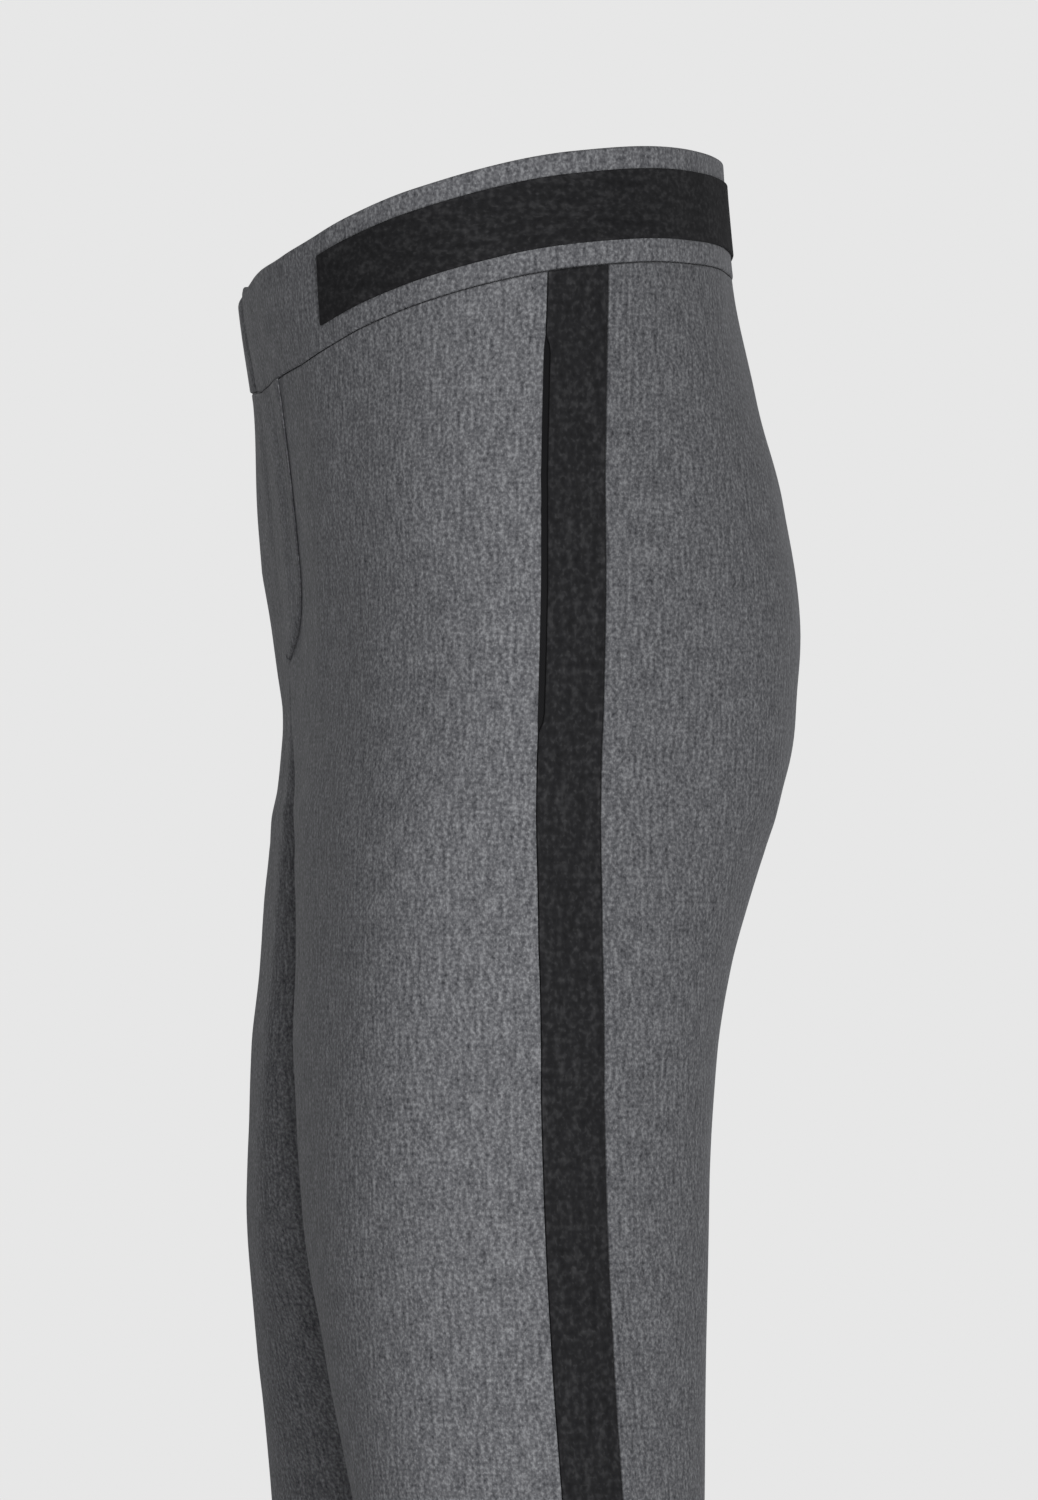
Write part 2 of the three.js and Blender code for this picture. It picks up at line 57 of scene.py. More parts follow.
MM = 0.001
WAIST_HEIGHT = 235
HEM_HEIGHT = -780
GAP = 0.3  # between two pieces at a seam
CENTRE_GAP = 0.01  # between the two halves, and between front and back at the inseam
STRIPE_WIDTH = 23
BAND_HEIGHT = 43
BAND_PROUD = 0.5
BAND_THICKNESS = 2.6
BAND_LAP = 16
BAND_CORNER = 9  # radius of the left end's top corner
BAND_SPAN = 400
BAND_ROW = 2.4
END_RISE = 3.5  # the left end stands this much higher at the centre front
END_RUN = (10, 60)  # the rise fades out between these distances from the centre front
UNDER_DROP = 7  # the right end is cut this much lower, so that it stays hidden
UNDER_RUN = (40, 110)
FLY_LAP = 5
TONGUE_LENGTH = 30  # the right end runs on behind the left one by this much past the centre front
TONGUE_STEP = 20
TAPE_START = 92
TAPE_BELOW_TOP = 8.5
TAPE_WIDTH = 26
TAPE_THICKNESS = 1.1
TAPE_LIFT = 0.05  # the tape's back lies this far off the band
TAPE_SPAN = 300
PANEL_SPAN = 190
MOUTH_TOP = 185
MOUTH_BOTTOM = 40
MOUTH_SETBACK = 0.4  # the front stands back this far from the stripe in the pocket mouth
MOUTH_GAP = 1.8  # and the stripe this far from the front
MOUTH_RAMP = 5
POCKET_BOTTOM = -20
POCKET_DEPTH = 105
POCKET_OFFSET = -1.9
POCKET_THICKNESS = 1.2
FLY_WIDTH = 35.7
FLY_BOTTOM_SHARE = 0.415
FLY_THICKNESS = 1.1
FLY_FACE = 1.3
FLY_TIP_SHARE = 0.14
FLY_EDGE = 0.25  # thickness of the lap's pressed edge
FLY_PRESSED = 5
FLY_GRID = 0.7  # its grid is this much finer than a panel's
ZIP_HALF_WIDTH = 13
ZIP_OFFSET = -1.9
ZIP_THICKNESS = 1.1
SHIELD_FROM = -30
SHIELD_TO = 10
SHIELD_OFFSET = -3.4
SHIELD_THICKNESS = 1.5
HEM_DEPTH = 40
HEM_OFFSET = -1.7
HEM_ROUND = 390
HEM_ROW = 3.0
STITCH_SPACING = 2.9
STITCH_LENGTH = 2.1
STITCH_UNEVEN = 0.15  # share of its length by which a stitch is longer or shorter
STITCH_WAVES = ((2.4, 0), (5.3, 1))  # turn from one stitch to the next, and phase
STITCH_WIDTH = 0.42
STITCH_OFFSET = -0.45
STITCH_SIDES = 6
STITCH_INSET = 4
STITCH_RINGS = np.array([-0.98, -0.75, 0.0, 0.75, 0.98])
STRIDE_BLEND = 50

SECTION_COLUMNS = (
    "height", "outer", "inner", "frontX", "backX", "frontY", "backY",
    "sideY", "innerY", "stripeY", "frontPower", "backPower",
)
SECTION_ROWS = (
    (-780, 178, 55, 116, 116, -46, 76, 15, 15, 26, 2.1, 2.1),
    (-560, 172, 52, 112, 112, -49, 70, 10, 10, 22, 2.1, 2.1),
    (-340, 166, 46, 106, 106, -54, 63, 6, 6, 18, 2.1, 2.1),
    (-250, 165, 38, 101, 102, -62, 65, 6, 4, 14.5, 2.3, 2.1),
    (-192, 166, 31, 84, 97, -71, 66, 4, 2, 10.2, 2.6, 2.15),
    (-134, 167, 23, 67, 90, -77.8, 68.2, 4, 2, 7, 2.8, 2.2),
    (-76, 168, 16, 50, 82, -78.9, 72.8, 6, 4, 5.2, 2.9, 2.25),
    (-45, 169, 13, 47, 78, -77.1, 78.4, 7, 6, 4.5, 2.9, 2.3),
    (-20, 171, 8, 48, 74, -76.6, 85.4, 8, 8, 3.8, 2.9, 2.3),
    (0, 173, 0, 44, 68, -76, 92.6, 8, 8, 3, 2.8, 2.35),
    (12, 174, -7, 32, 65, -76.4, 98, 8, 8, 2.7, 2.7, 2.35),
    (25, 175, -18, 27, 62, -74.9, 102.4, 8, 8, 2.7, 2.6, 2.3),
    (50, 176, -60, 14, 54, -73.8, 107.6, 8, 8, 3.5, 2.55, 2.25),
    (85, 175, -110, 4, 42, -74.5, 111.5, 8, 6, 4.6, 2.6, 2.2),
    (130, 169, -130, 8, 22, -78.3, 108.2, 6, 4, 5.8, 2.6, 2.2),
    (170, 161, -135, 0, 6, -83.2, 100, 4, 2, 8, 2.35, 2.2),
    (215, 152, -140, 0, 0, -90.5, 92, 2, 0, 11, 2.2, 2.2),
    (262, 148, -140, 0, 0, -93, 88.2, 0, 0, 12, 2.2, 2.2),
)
WAIST_COLUMNS = ("around", "top")
WAIST_ROWS = (
    (-1, 212), (-0.85, 217.5), (-0.62, 225), (-0.3, 240.2), (0, 253.6), (0.25, 257.8), (0.6, 259.4),
    (1, 258.8),
)
# The band narrows to its front end.
BAND_COLUMNS = ("around", "height")
BAND_ROWS = ((-1, 36.5), (-0.8, 40.5), (-0.6, BAND_HEIGHT), (1, BAND_HEIGHT))
STRIDE_COLUMNS = ("height", "shift")
STRIDE_ROWS = (
    (-780, -12), (-250, -3.7), (-192, -1.7), (-134, -0.2), (-76, 1.5), (-20, 4), (15, 5.6), (45, 5.6),
    (75, 3.5), (110, 0),
)

# Main folds first, then the fine ones. around is -1 at the centre front, 0 at the stripe, 1 at the back.
FOLD_COLUMNS = ("fromAround", "fromHeight", "toAround", "toHeight", "reach", "lift")
FOLD_ROWS = {
    "left": (
        (-0.9, 190, -0.88, 62, 9, -1.6),
        (-0.62, 190, -0.6, -95, 24, 1.6),
        (-0.9, 22, -0.5, 76, 12, -0.9),
        (-0.9, -30, -0.56, 14, 12, 0.8),
        (0.94, -8, 0.46, 20, 13, -3),
        (0.9, -44, 0.52, -12, 14, -1.8),
        (0.86, -326, 0.3, -352, 16, -2.4),
        (0.82, -388, 0.36, -372, 14, -1.9),
        (-0.56, -410, -0.5, -735, 20, 1.6),
        (-0.92, -742, -0.3, -728, 13, -2.2),
        (-0.34, 165, -0.3, -40, 26, 0.6),
        (-0.2, -130, -0.24, -470, 22, -0.5),
        (0.3, 150, 0.24, -60, 20, -0.5),
        (0.5, -60, 0.42, -300, 26, 0.6),
        (-0.86, -8, -0.6, 40, 6, -0.4),
        (0.9, 26, 0.56, 62, 11, -1.1),
        (0.7, -336, 0.16, -344, 8, -0.9),
        (0.62, -404, 0.2, -420, 9, -0.8),
        (-0.84, -762, -0.46, -752, 7, -0.9),
        (0.25, -700, 0.62, -716, 11, -0.9),
    ),
    "right": (
        (-0.9, 186, -0.88, 60, 9, -1.4),
        (-0.6, 184, -0.62, -80, 24, 1.5),
        (-0.9, 24, -0.54, 70, 12, -0.8),
        (-0.88, -26, -0.58, 20, 12, 0.8),
        (0.93, -4, 0.5, 26, 13, -2.7),
        (0.88, -50, 0.56, -20, 14, -2),
        (0.84, -334, 0.34, -346, 16, -2.1),
        (0.8, -380, 0.4, -392, 14, -2.2),
        (-0.5, -420, -0.54, -720, 20, 1.5),
        (-0.88, -736, -0.34, -744, 13, -2),
        (-0.36, 158, -0.3, -20, 24, 0.6),
        (-0.22, -120, -0.26, -450, 24, -0.5),
        (0.28, 140, 0.26, -80, 22, -0.5),
        (0.48, -50, 0.44, -280, 26, 0.7),
        (-0.86, -12, -0.6, 34, 6, -0.4),
        (0.92, 30, 0.6, 58, 10, -1),
        (0.66, -322, 0.2, -330, 8, -0.8),
        (0.68, -410, 0.24, -402, 9, -0.9),
        (-0.82, -758, -0.5, -766, 7, -0.8),
        (0.3, -708, 0.66, -698, 11, -0.9),
    ),
}

# Slow waves of the cloth, so that no panel is perfectly smooth.
WAVE_COLUMNS = ("across", "down", "phase", "lift")
WAVE_ROWS = ((97, 310, 0.4, 0.3), (-61, 173, 2.1, 0.2), (44, 121, 4.4, 0.12), (-29, 67, 1.2, 0.07))
WAVE_FADE = 14  # the waves die out this far from the middle plane

# Grid lines close to a piece's edge, in millimetres from it.
EDGE_STEPS = np.array([0.03, 0.13, 0.3, 0.52, 0.78, 1.1, 1.9, 3.2])
BELOW_CROTCH = np.array([-6.5, -4.5, -3, -1.8, -0.9, -0.3, 0])
CROTCH_STEP = 0.07
RISE_SHARE = 0.965  # rows spread up to this share of the way to the waist seam
HEIGHT_PASSES = 7
SHARP_ANGLE = math.radians(60)
FULLEST_CUT = 0.999  # largest share of its width times its length that a cut fills
AROUND_STEPS = 600
SECTION_STEPS = 720

# Levels at which the sections are measured: their spacings, and where these change.
LEG_SPACING, FORK_SPACING, RISE_SPACING = 4.0, 1.0, 2.0
FORK_BOTTOM, FORK_TOP, FORK_LEVELS, LEVELS_TOP = -12, 36, 91, 268
NORMAL_ANGLE = 0.012
NORMAL_HEIGHT = 1.0


def curve_through(xs, ys):
    """Smooth curve with no overshoot between its points (monotone cubic). Each inner tangent is the
    weighted harmonic mean of the two slopes beside it, or 0 where they differ in sign."""
    xs, ys = np.asarray(xs, float), np.asarray(ys, float)
    widths = np.diff(xs)
    slopes = np.diff(ys) / widths
    before, after = 2 * widths[1:] + widths[:-1], widths[1:] + 2 * widths[:-1]
    steady = slopes[:-1] * slopes[1:] > 0
    low, high = np.where(steady, slopes[:-1], 1), np.where(steady, slopes[1:], 1)
    mean = np.where(steady, (before + after) / (before / low + after / high), 0)
    tangents = np.concatenate([slopes[:1], mean, slopes[-1:]])

    def curve(x):
        inside = np.clip(x, xs[0], xs[-1])
        i = np.clip(np.searchsorted(xs, inside) - 1, 0, len(xs) - 2)
        s = (inside - xs[i]) / widths[i]
        start = s * (1 - s) ** 2 * widths[i] * tangents[i]
        end = s * s * (s - 1) * widths[i] * tangents[i + 1]
        return ys[i] + (ys[i + 1] - ys[i]) * (3 - 2 * s) * s * s + start + end

    return curve


def table_curves(columns, rows):
    """Curve through each column of a table, over its first column."""
    table = np.array(rows, float)
    return {name: curve_through(table[:, 0], table[:, i + 1]) for i, name in enumerate(columns[1:])}


SECTION_CURVES = table_curves(SECTION_COLUMNS, SECTION_ROWS)
waist_top = table_curves(WAIST_COLUMNS, WAIST_ROWS)["top"]
band_high = table_curves(BAND_COLUMNS, BAND_ROWS)["height"]
stride_shift = table_curves(STRIDE_COLUMNS, STRIDE_ROWS)["shift"]


def smooth_between(x, low, high):
    """Rises from 0 at `low` to 1 at `high`, level at both ends."""
    s = np.clip((x - low) / (high - low), 0, 1)
    return s * s * (3 - 2 * s)


def sections_at(height):
    """Every column of the section table at each height."""
    return {name: curve(height) for name, curve in SECTION_CURVES.items()}


def section_point(section, angle):
    """Point of a section at an angle from its outer side, towards the back. Each quarter is a
    superellipse: middle + reach * cos^(2/power), level + depth * sin^(2/power)."""
    c, s = np.cos(angle), np.sin(angle)
    power = np.where(s < 0, section["frontPower"], section["backPower"])
    middle = np.where(s < 0, section["frontX"], section["backX"])
    level = np.where(c < 0, section["innerY"], section["sideY"])
    across = np.where(c < 0, middle - section["inner"], section["outer"] - middle)
    deep = np.where(s < 0, level - section["frontY"], section["backY"] - level)
    x = middle + across * np.sign(c) * np.abs(c) ** (2 / power)
    y = level + deep * np.sign(s) * np.abs(s) ** (2 / power)
    return x, y


def end_angle(section, middle, power):
    """Angle at which half a section meets its inseam or, above the crotch, the middle plane."""
    cut = np.minimum(section["inner"], 0)
    return np.arccos(-((middle / (middle - cut)) ** (power / 2)))


def measure_sections():
    """Table of the angle at each share of the way round, for many levels, with the lengths of the front
    and back halves. Lengths are sums of chords, measured from the stripe's middle. The levels lie close
    together above the crotch, where the two halves part."""
    levels = np.concatenate([
        np.arange(HEM_HEIGHT - LEG_SPACING, FORK_BOTTOM, LEG_SPACING),
        np.arange(FORK_BOTTOM, 0, FORK_SPACING),
        FORK_TOP * np.linspace(0, 1, FORK_LEVELS) ** 2,
        np.arange(FORK_TOP + RISE_SPACING, LEVELS_TOP, RISE_SPACING),
    ])
    section = {name: values[:, None] for name, values in sections_at(levels).items()}
    first = -end_angle(section, section["frontX"], section["frontPower"])
    last = end_angle(section, section["backX"], section["backPower"])
    share = np.linspace(0, 1, SECTION_STEPS + 1)
    angles = first + (last - first) * share
    x, y = section_point(section, angles)
    chords = np.hypot(np.diff(x, axis=1), np.diff(y, axis=1))
    lengths = np.concatenate([np.zeros((len(levels), 1)), np.cumsum(chords, axis=1)], axis=1)
    behind = (section["stripeY"] - section["sideY"]) / (section["backY"] - section["sideY"])
    ahead = (section["sideY"] - section["stripeY"]) / (section["sideY"] - section["frontY"])
    stripe = np.where(
        behind > 0,
        np.arcsin(np.clip(behind, 0, 1) ** (section["backPower"] / 2)),
        -np.arcsin(np.clip(ahead, 0, 1) ** (section["frontPower"] / 2)),
    )
    place = ((stripe - first) / (last - first))[:, 0] * SECTION_STEPS
    row, step = np.arange(len(levels)), np.floor(place).astype(int)
    front = lengths[row, step] + (lengths[row, step + 1] - lengths[row, step]) * (place - step)
    back = lengths[:, -1] - front
    around = lengths - front[:, None]
    around = np.where(around < 0, around / front[:, None], around / back[:, None])
    wanted = np.linspace(-1, 1, AROUND_STEPS + 1)
    apart = 4.0 * row[:, None]  # keeps the levels from one another in a single interpolation
    table = np.interp((wanted + apart).ravel(), (around + apart).ravel(), angles.ravel())
    return levels, table.reshape(len(levels), -1), front, back


LEVELS, ANGLES, FRONT_LENGTHS, BACK_LENGTHS = measure_sections()


def front_length(height):
    return np.interp(height, LEVELS, FRONT_LENGTHS)


def back_length(height):
    return np.interp(height, LEVELS, BACK_LENGTHS)


def around_at(height, length):
    """Share of the way round: -1 at the centre front or inseam, 0 at the stripe, 1 at the back. Past the
    centre front it turns back again."""
    share = np.where(length < 0, length / front_length(height), length / back_length(height))
    return np.where(share < -1, -2 - share, share)


def angle_at(height, around):
    """Angle of the section there, read between the four nearest places of the table."""
    i = np.clip(np.searchsorted(LEVELS, height) - 1, 0, len(LEVELS) - 2)
    up = np.clip((height - LEVELS[i]) / (LEVELS[i + 1] - LEVELS[i]), 0, 1)
    place = (np.clip(around, -1, 1) + 1) / 2 * AROUND_STEPS
    j = np.minimum(place.astype(int), AROUND_STEPS - 1)
    on = place - j
    low = ANGLES[i, j] * (1 - on) + ANGLES[i, j + 1] * on
    high = ANGLES[i + 1, j] * (1 - on) + ANGLES[i + 1, j + 1] * on
    return low * (1 - up) + high * up


def fold_lift(side, height, around):
    """Height of the folds: lift * 4 * along * (1 - along) * exp(-(aside / reach)^2) for each line, which
    runs straight on the cloth between its two ends."""
    length = around * np.where(around < 0, front_length(height), back_length(height))
    lift = np.zeros_like(height)
    for row in FOLD_ROWS[side]:
        fold = dict(zip(FOLD_COLUMNS, row))
        length_at = front_length if fold["fromAround"] < 0 else back_length
        start = fold["fromAround"] * length_at(fold["fromHeight"])
        run_x = fold["toAround"] * length_at(fold["toHeight"]) - start
        run_y = fold["toHeight"] - fold["fromHeight"]
        x = length - start
        y = height - fold["fromHeight"]
        run = np.hypot(run_x, run_y)
        along = np.clip((x * run_x + y * run_y) / (run * run), 0, 1)
        aside = (x * run_y - y * run_x) / run
        lift += fold["lift"] * 4 * along * (1 - along) * np.exp(-((aside / fold["reach"]) ** 2))
    return lift


def wave_lift(height, length, around):
    """Sum of slow sine waves that run aslant over the cloth and die out at the middle plane."""
    lift = np.zeros_like(height)
    for row in WAVE_ROWS:
        wave = dict(zip(WAVE_COLUMNS, row))
        turn = 2 * math.pi * (length / wave["across"] + height / wave["down"]) + wave["phase"]
        lift += wave["lift"] * np.sin(turn)
    scale = np.where(around < 0, front_length(height), back_length(height))
    return lift * smooth_between((1 - np.abs(around)) * scale, 0, WAVE_FADE)


def cloth_points(side, height, length, offset, keep_side=True):
    """Points of one half, `length` mm along the cloth from the stripe's middle and `offset` mm out from
    its face: the section's point plus the normal times (offset + folds + waves). The normal is the cross
    product of the section's direction and the rise between two heights at one angle. A length past the
    centre front goes on over the other half. With keep_side the points stay on their own side."""
    passed = length < -front_length(height)
    inside = np.where(passed, -2 * front_length(height) - length, length)
    around = around_at(height, inside)
    angle = angle_at(height, around)
    section = sections_at(height)
    above, below = sections_at(height + NORMAL_HEIGHT), sections_at(height - NORMAL_HEIGHT)
    x, y = section_point(section, angle)
    x_ahead, y_ahead = section_point(section, angle + NORMAL_ANGLE)
    x_back, y_back = section_point(section, angle - NORMAL_ANGLE)
    x_up, y_up = section_point(above, angle)
    x_down, y_down = section_point(below, angle)
    along = np.stack([x_ahead - x_back, y_ahead - y_back, np.zeros_like(x)], axis=-1)
    upward = np.stack([x_up - x_down, y_up - y_down, np.full_like(x, 2 * NORMAL_HEIGHT)], axis=-1)
    normal = np.cross(along, upward)
    normal /= np.linalg.norm(normal, axis=-1, keepdims=True)
    lift = fold_lift(side, height, around) + wave_lift(height, length, around)
    out = offset + np.where(passed, 0, lift)
    points = np.stack([x, y, height + np.zeros_like(x)], axis=-1) + normal * out[..., None]
    if keep_side:
        points[..., 0] = np.maximum(points[..., 0], CENTRE_GAP / 2)
    points[..., 0] *= np.where(passed, -1, 1)
    on_right = points[..., 0] * (1 if side == "right" else -1)
    shift = stride_shift(height) * smooth_between(on_right, 0, STRIDE_BLEND)
    points[..., 1] += shift
    if side == "right":
        points[..., 0] *= -1
    return points


def seam_height(around):
    return waist_top(around) - band_high(around)


# ---- Grids over the cloth ----


def stations(size, step, start_edge=True, stop_edge=True):
    """Grid lines across about `size` mm, close together at its edges. A line lies `share` of the way
    across plus `distance` mm."""
    first = EDGE_STEPS[:-1] if start_edge else EDGE_STEPS[:0]
    last = EDGE_STEPS[:-1] if stop_edge else EDGE_STEPS[:0]
    inset_first = EDGE_STEPS[-1] if start_edge else 0
    inset_last = EDGE_STEPS[-1] if stop_edge else 0
    count = max(2, round((size - inset_first - inset_last) / step))
    share = np.linspace(0, 1, count + 1)
    shares = np.concatenate([np.zeros(len(first)), share, np.ones(len(last))])
    middle = inset_first * (1 - share) - inset_last * share
    return shares, np.concatenate([first, middle, -last[::-1]])


def leg_levels(step, low=HEM_HEIGHT):
    """Heights of the grid's rows below the crotch."""
    steps = EDGE_STEPS if low == HEM_HEIGHT else np.array([0.0])
    first = low + steps[-1]
    count = round((BELOW_CROTCH[0] - first) / step)
    spread = np.linspace(first, BELOW_CROTCH[0], count)[:-1]
    return np.concatenate([low + steps[:-1], spread, BELOW_CROTCH])


def rise_levels(step):
    """Rows above the crotch, as a distance and a share of the way to the waist seam. They spread as the
    square of their number, until they are a step apart."""
    rise = float(seam_height(0))
    count = int(step / CROTCH_STEP / 2)
    near = CROTCH_STEP * np.arange(1, count + 1) ** 2 / rise
    far = np.linspace(near[-1], RISE_SHARE, round((RISE_SHARE - near[-1]) * rise / step) + 1)[1:]
    shares = np.concatenate([near, far])
    top = EDGE_STEPS[::-1] + GAP / 2
    return np.concatenate([np.zeros(len(shares)), -top]), np.concatenate([shares, np.ones(len(top))])


def panel_levels(step, low=HEM_HEIGHT):
    """Rows of a whole panel: a height plus a share of the way to the waist seam."""
    legs = leg_levels(step, low)
    level, rise = rise_levels(step)
    return np.concatenate([legs, level]), np.concatenate([np.zeros(len(legs)), rise])


def settle(rows, columns, start, stop, in_band=False):
    """Heights and lengths of a grid. A row's height is level + rise * the waist seam's height there, so
    it is found in a few passes. In the band, levels shrink as the band narrows. start and stop give the
    lengths of the piece's edges at a height."""
    level, rise = (np.asarray(values, float)[:, None] for values in rows)
    share, distance = columns
    height = level + rise * seam_height(0) + np.zeros(len(share))
    for _ in range(HEIGHT_PASSES):
        length = start(height) + (stop(height) - start(height)) * share + distance
        around = around_at(height, length)
        narrow = band_high(around) / BAND_HEIGHT if in_band else 1
        height = level * narrow + rise * seam_height(around)
    return height, start(height) + (stop(height) - start(height)) * share + distance


def quarter_round(distance, radius):
    """Fall of a rounded edge below the face: radius - sqrt(radius^2 - (radius - distance)^2)."""
    inside = np.clip(radius - distance, 0, radius)
    return radius - np.sqrt(radius**2 - inside**2)


def faces_of_wall(face, thickness, sewn=(), free=()):
    """Offsets of a wall's outer and inner face. Sewn edges, each a distance and a radius, roll inwards.
    Free edges, each a distance, are half round."""
    outer, inner = np.zeros_like(face), np.zeros_like(face)
    for distance, radius in sewn:
        outer = np.maximum(outer, quarter_round(distance, radius))
    for distance in free:
        bend = quarter_round(distance, thickness / 2)
        outer, inner = np.maximum(outer, bend), np.maximum(inner, bend)
    return face - outer, face - thickness + inner


def wall_mesh(name, outer, inner, flat, flip=False, ring=False):
    """Closed wall between two grids of points, with rims round its edges. flat gives each place's spot
    on the cut cloth, as the UV map in metres."""
    rows, columns = outer.shape[:2]
    spans = columns if ring else columns - 1
    corner = np.arange(rows)[:, None] * columns + np.arange(spans + 1) % columns
    spot = np.arange(rows * (spans + 1)).reshape(rows, spans + 1)

    def quads(grid, layer):
        a, b, c, d = grid[:-1, :-1], grid[:-1, 1:], grid[1:, 1:], grid[1:, :-1]
        low, high, first, last = grid[0], grid[-1], grid[:, 0], grid[:, -1]
        sets = [
            (a, b, c, d),
            (a + layer, d + layer, c + layer, b + layer),
            (low[1:], low[:-1], low[:-1] + layer, low[1:] + layer),
            (high[:-1], high[1:], high[1:] + layer, high[:-1] + layer),
        ]
        if not ring:
            sets.append((first[:-1], first[1:], first[1:] + layer, first[:-1] + layer))
            sets.append((last[1:], last[:-1], last[:-1] + layer, last[1:] + layer))
        faces = np.concatenate([np.stack(four, axis=-1).reshape(-1, 4) for four in sets])
        return faces[:, ::-1] if flip else faces

    points = np.concatenate([outer.reshape(-1, 3), inner.reshape(-1, 3)])
    points = (points - [0, 0, WAIST_HEIGHT]) * MM
    mesh = bpy.data.meshes.new(name)
    mesh.from_pydata(points.tolist(), [], quads(corner, rows * columns).tolist())
    places = np.concatenate([flat.reshape(-1, 2)] * 2) * MM
    uv = mesh.uv_layers.new(name="cut")
    uv.uv.foreach_set("vector", places[quads(spot, rows * (spans + 1)).ravel()].ravel().astype(np.float32))
    mesh.shade_smooth()
    mesh.set_sharp_from_angle(angle=SHARP_ANGLE)
    return mesh


def cut_area(height, length):
    """Area in square metres of a grid laid flat, as the sum of its cells' widths times heights."""
    wide = (np.diff(length, axis=1)[:-1] + np.diff(length, axis=1)[1:]) / 2
    high = (np.diff(height, axis=0)[:, :-1] + np.diff(height, axis=0)[:, 1:]) / 2
    return float(np.abs(wide * high).sum()) * MM * MM


def add_object(name, data):
    """New object at the origin, linked to the scene."""
    thing = bpy.data.objects.new(name, data)
    bpy.context.scene.collection.objects.link(thing)
    return thing


def finish_piece(node, mesh, material, flat, area):
    """Puts a mesh into the scene as the piece that stands for a node, and hides the node's own part. flat
    and area, the size it was cut to, are not used.
    """
    piece = add_object(f"{node}_cloth", mesh)
    mesh.materials.append(material)
    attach(piece, "root")
    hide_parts(node)


def cut_of(height, length):
    """Flat size of a grid, as ((width, length), area) in metres."""
    width = float((length.max(axis=1) - length.min(axis=1)).max()) * MM
    tall = float((height.max(axis=0) - height.min(axis=0)).max()) * MM
    area = min(cut_area(height, length), FULLEST_CUT * width * tall)
    return (width, tall), area


def make_cloth(node, faces, height, length, finish, flat=None):
    """Makes a node's piece from its two faces. Its grid of lengths and heights is also how it lies flat,
    and gives its flat size where none is stated. The right half is a mirror, so its faces turn round."""
    mesh = wall_mesh(node, *faces, np.stack([length, height], axis=-1), flip=node.endswith("right"))
    area = None
    if flat is None:
        flat, area = cut_of(height, length)
    finish_piece(node, mesh, finish, flat, area)


# ---- Finishes ----


def link(tree, source, target):
    tree.links.new(source, target)


def add_node(tree, kind, **values):
    """New node with its settings and its unlinked inputs given by name or number."""
    node = tree.nodes.new(kind)
    inputs = values.pop("inputs", {})
    for name, value in values.items():
        setattr(node, name, value)
    for name, value in inputs.items():
        node.inputs[name].default_value = value
    return node


def math_node(tree, operation, first, second=None, clamp=False):
    """Math node of two numbers or sockets, as its output."""
    node = add_node(tree, "ShaderNodeMath", operation=operation, use_clamp=clamp)
    for i, value in enumerate((first, second)):
        if isinstance(value, bpy.types.NodeSocket):
            link(tree, value, node.inputs[i])
        elif value is not None:
            node.inputs[i].default_value = value
    return node.outputs[0]


def mix_colours(tree, factor, first, second):
    """Mix of two colours or sockets, as its output."""
    node = add_node(tree, "ShaderNodeMix", data_type="RGBA")
    link(tree, factor, node.inputs[0])
    for socket, value in ((node.inputs[6], first), (node.inputs[7], second)):
        if isinstance(value, bpy.types.NodeSocket):
            link(tree, value, socket)
        else:
            socket.default_value = value
    return node.outputs[2]


NOISE_ROUGHNESS = 0.6


def stretched_noise(tree, place, width, length, detail, shift):
    """Noise from 0 to 1 whose spots are width by length metres, moved by shift."""
    scale = add_node(tree, "ShaderNodeCombineXYZ")
    link(tree, math_node(tree, "DIVIDE", 1.0, width), scale.inputs[0])
    link(tree, math_node(tree, "DIVIDE", 1.0, length), scale.inputs[1])
    moved = (shift, shift / 2, 0)
    spots = add_node(tree, "ShaderNodeVectorMath", operation="MULTIPLY_ADD", inputs={2: moved})
    link(tree, place, spots.inputs[0])
    link(tree, scale.outputs[0], spots.inputs[1])
    noise = add_node(
        tree, "ShaderNodeTexNoise", noise_dimensions="2D",
        inputs={"Scale": 1.0, "Detail": detail, "Roughness": NOISE_ROUGHNESS},
    )
    link(tree, spots.outputs[0], noise.inputs["Vector"])
    return noise.outputs["Fac"]


# Kinds of spots in melange wool. width and length are in flecks, and shift keeps the kinds apart.
SPOT_COLUMNS = ("width", "length", "detail", "shift")
SPOT_ROWS = {
    "flecks": (1.0, 1.0, 0.6, 3.7),
    "fibres": (0.5, 0.6, 0.0, 11.3),
    "slubs": (1.3, 6.0, 0.0, 23.9),
    "clouds": (11.0, 9.0, 2.0, 41.2),
    "specks": (0.4, 0.5, 0.0, 57.7),
}
SPOT_MIDDLE = 0.5
FIBRE_SHARE = 0.4
SLUB_SHARE = 0.5
SPECK_FROM = 0.66
SPECK_GAIN = 8.0
SPECK_SHARE = 0.22
TONE_GAIN = 1.6
NAP_ROUGHNESS = 0.9
NAP_GLOSS = -0.12  # light fibres are a little less rough


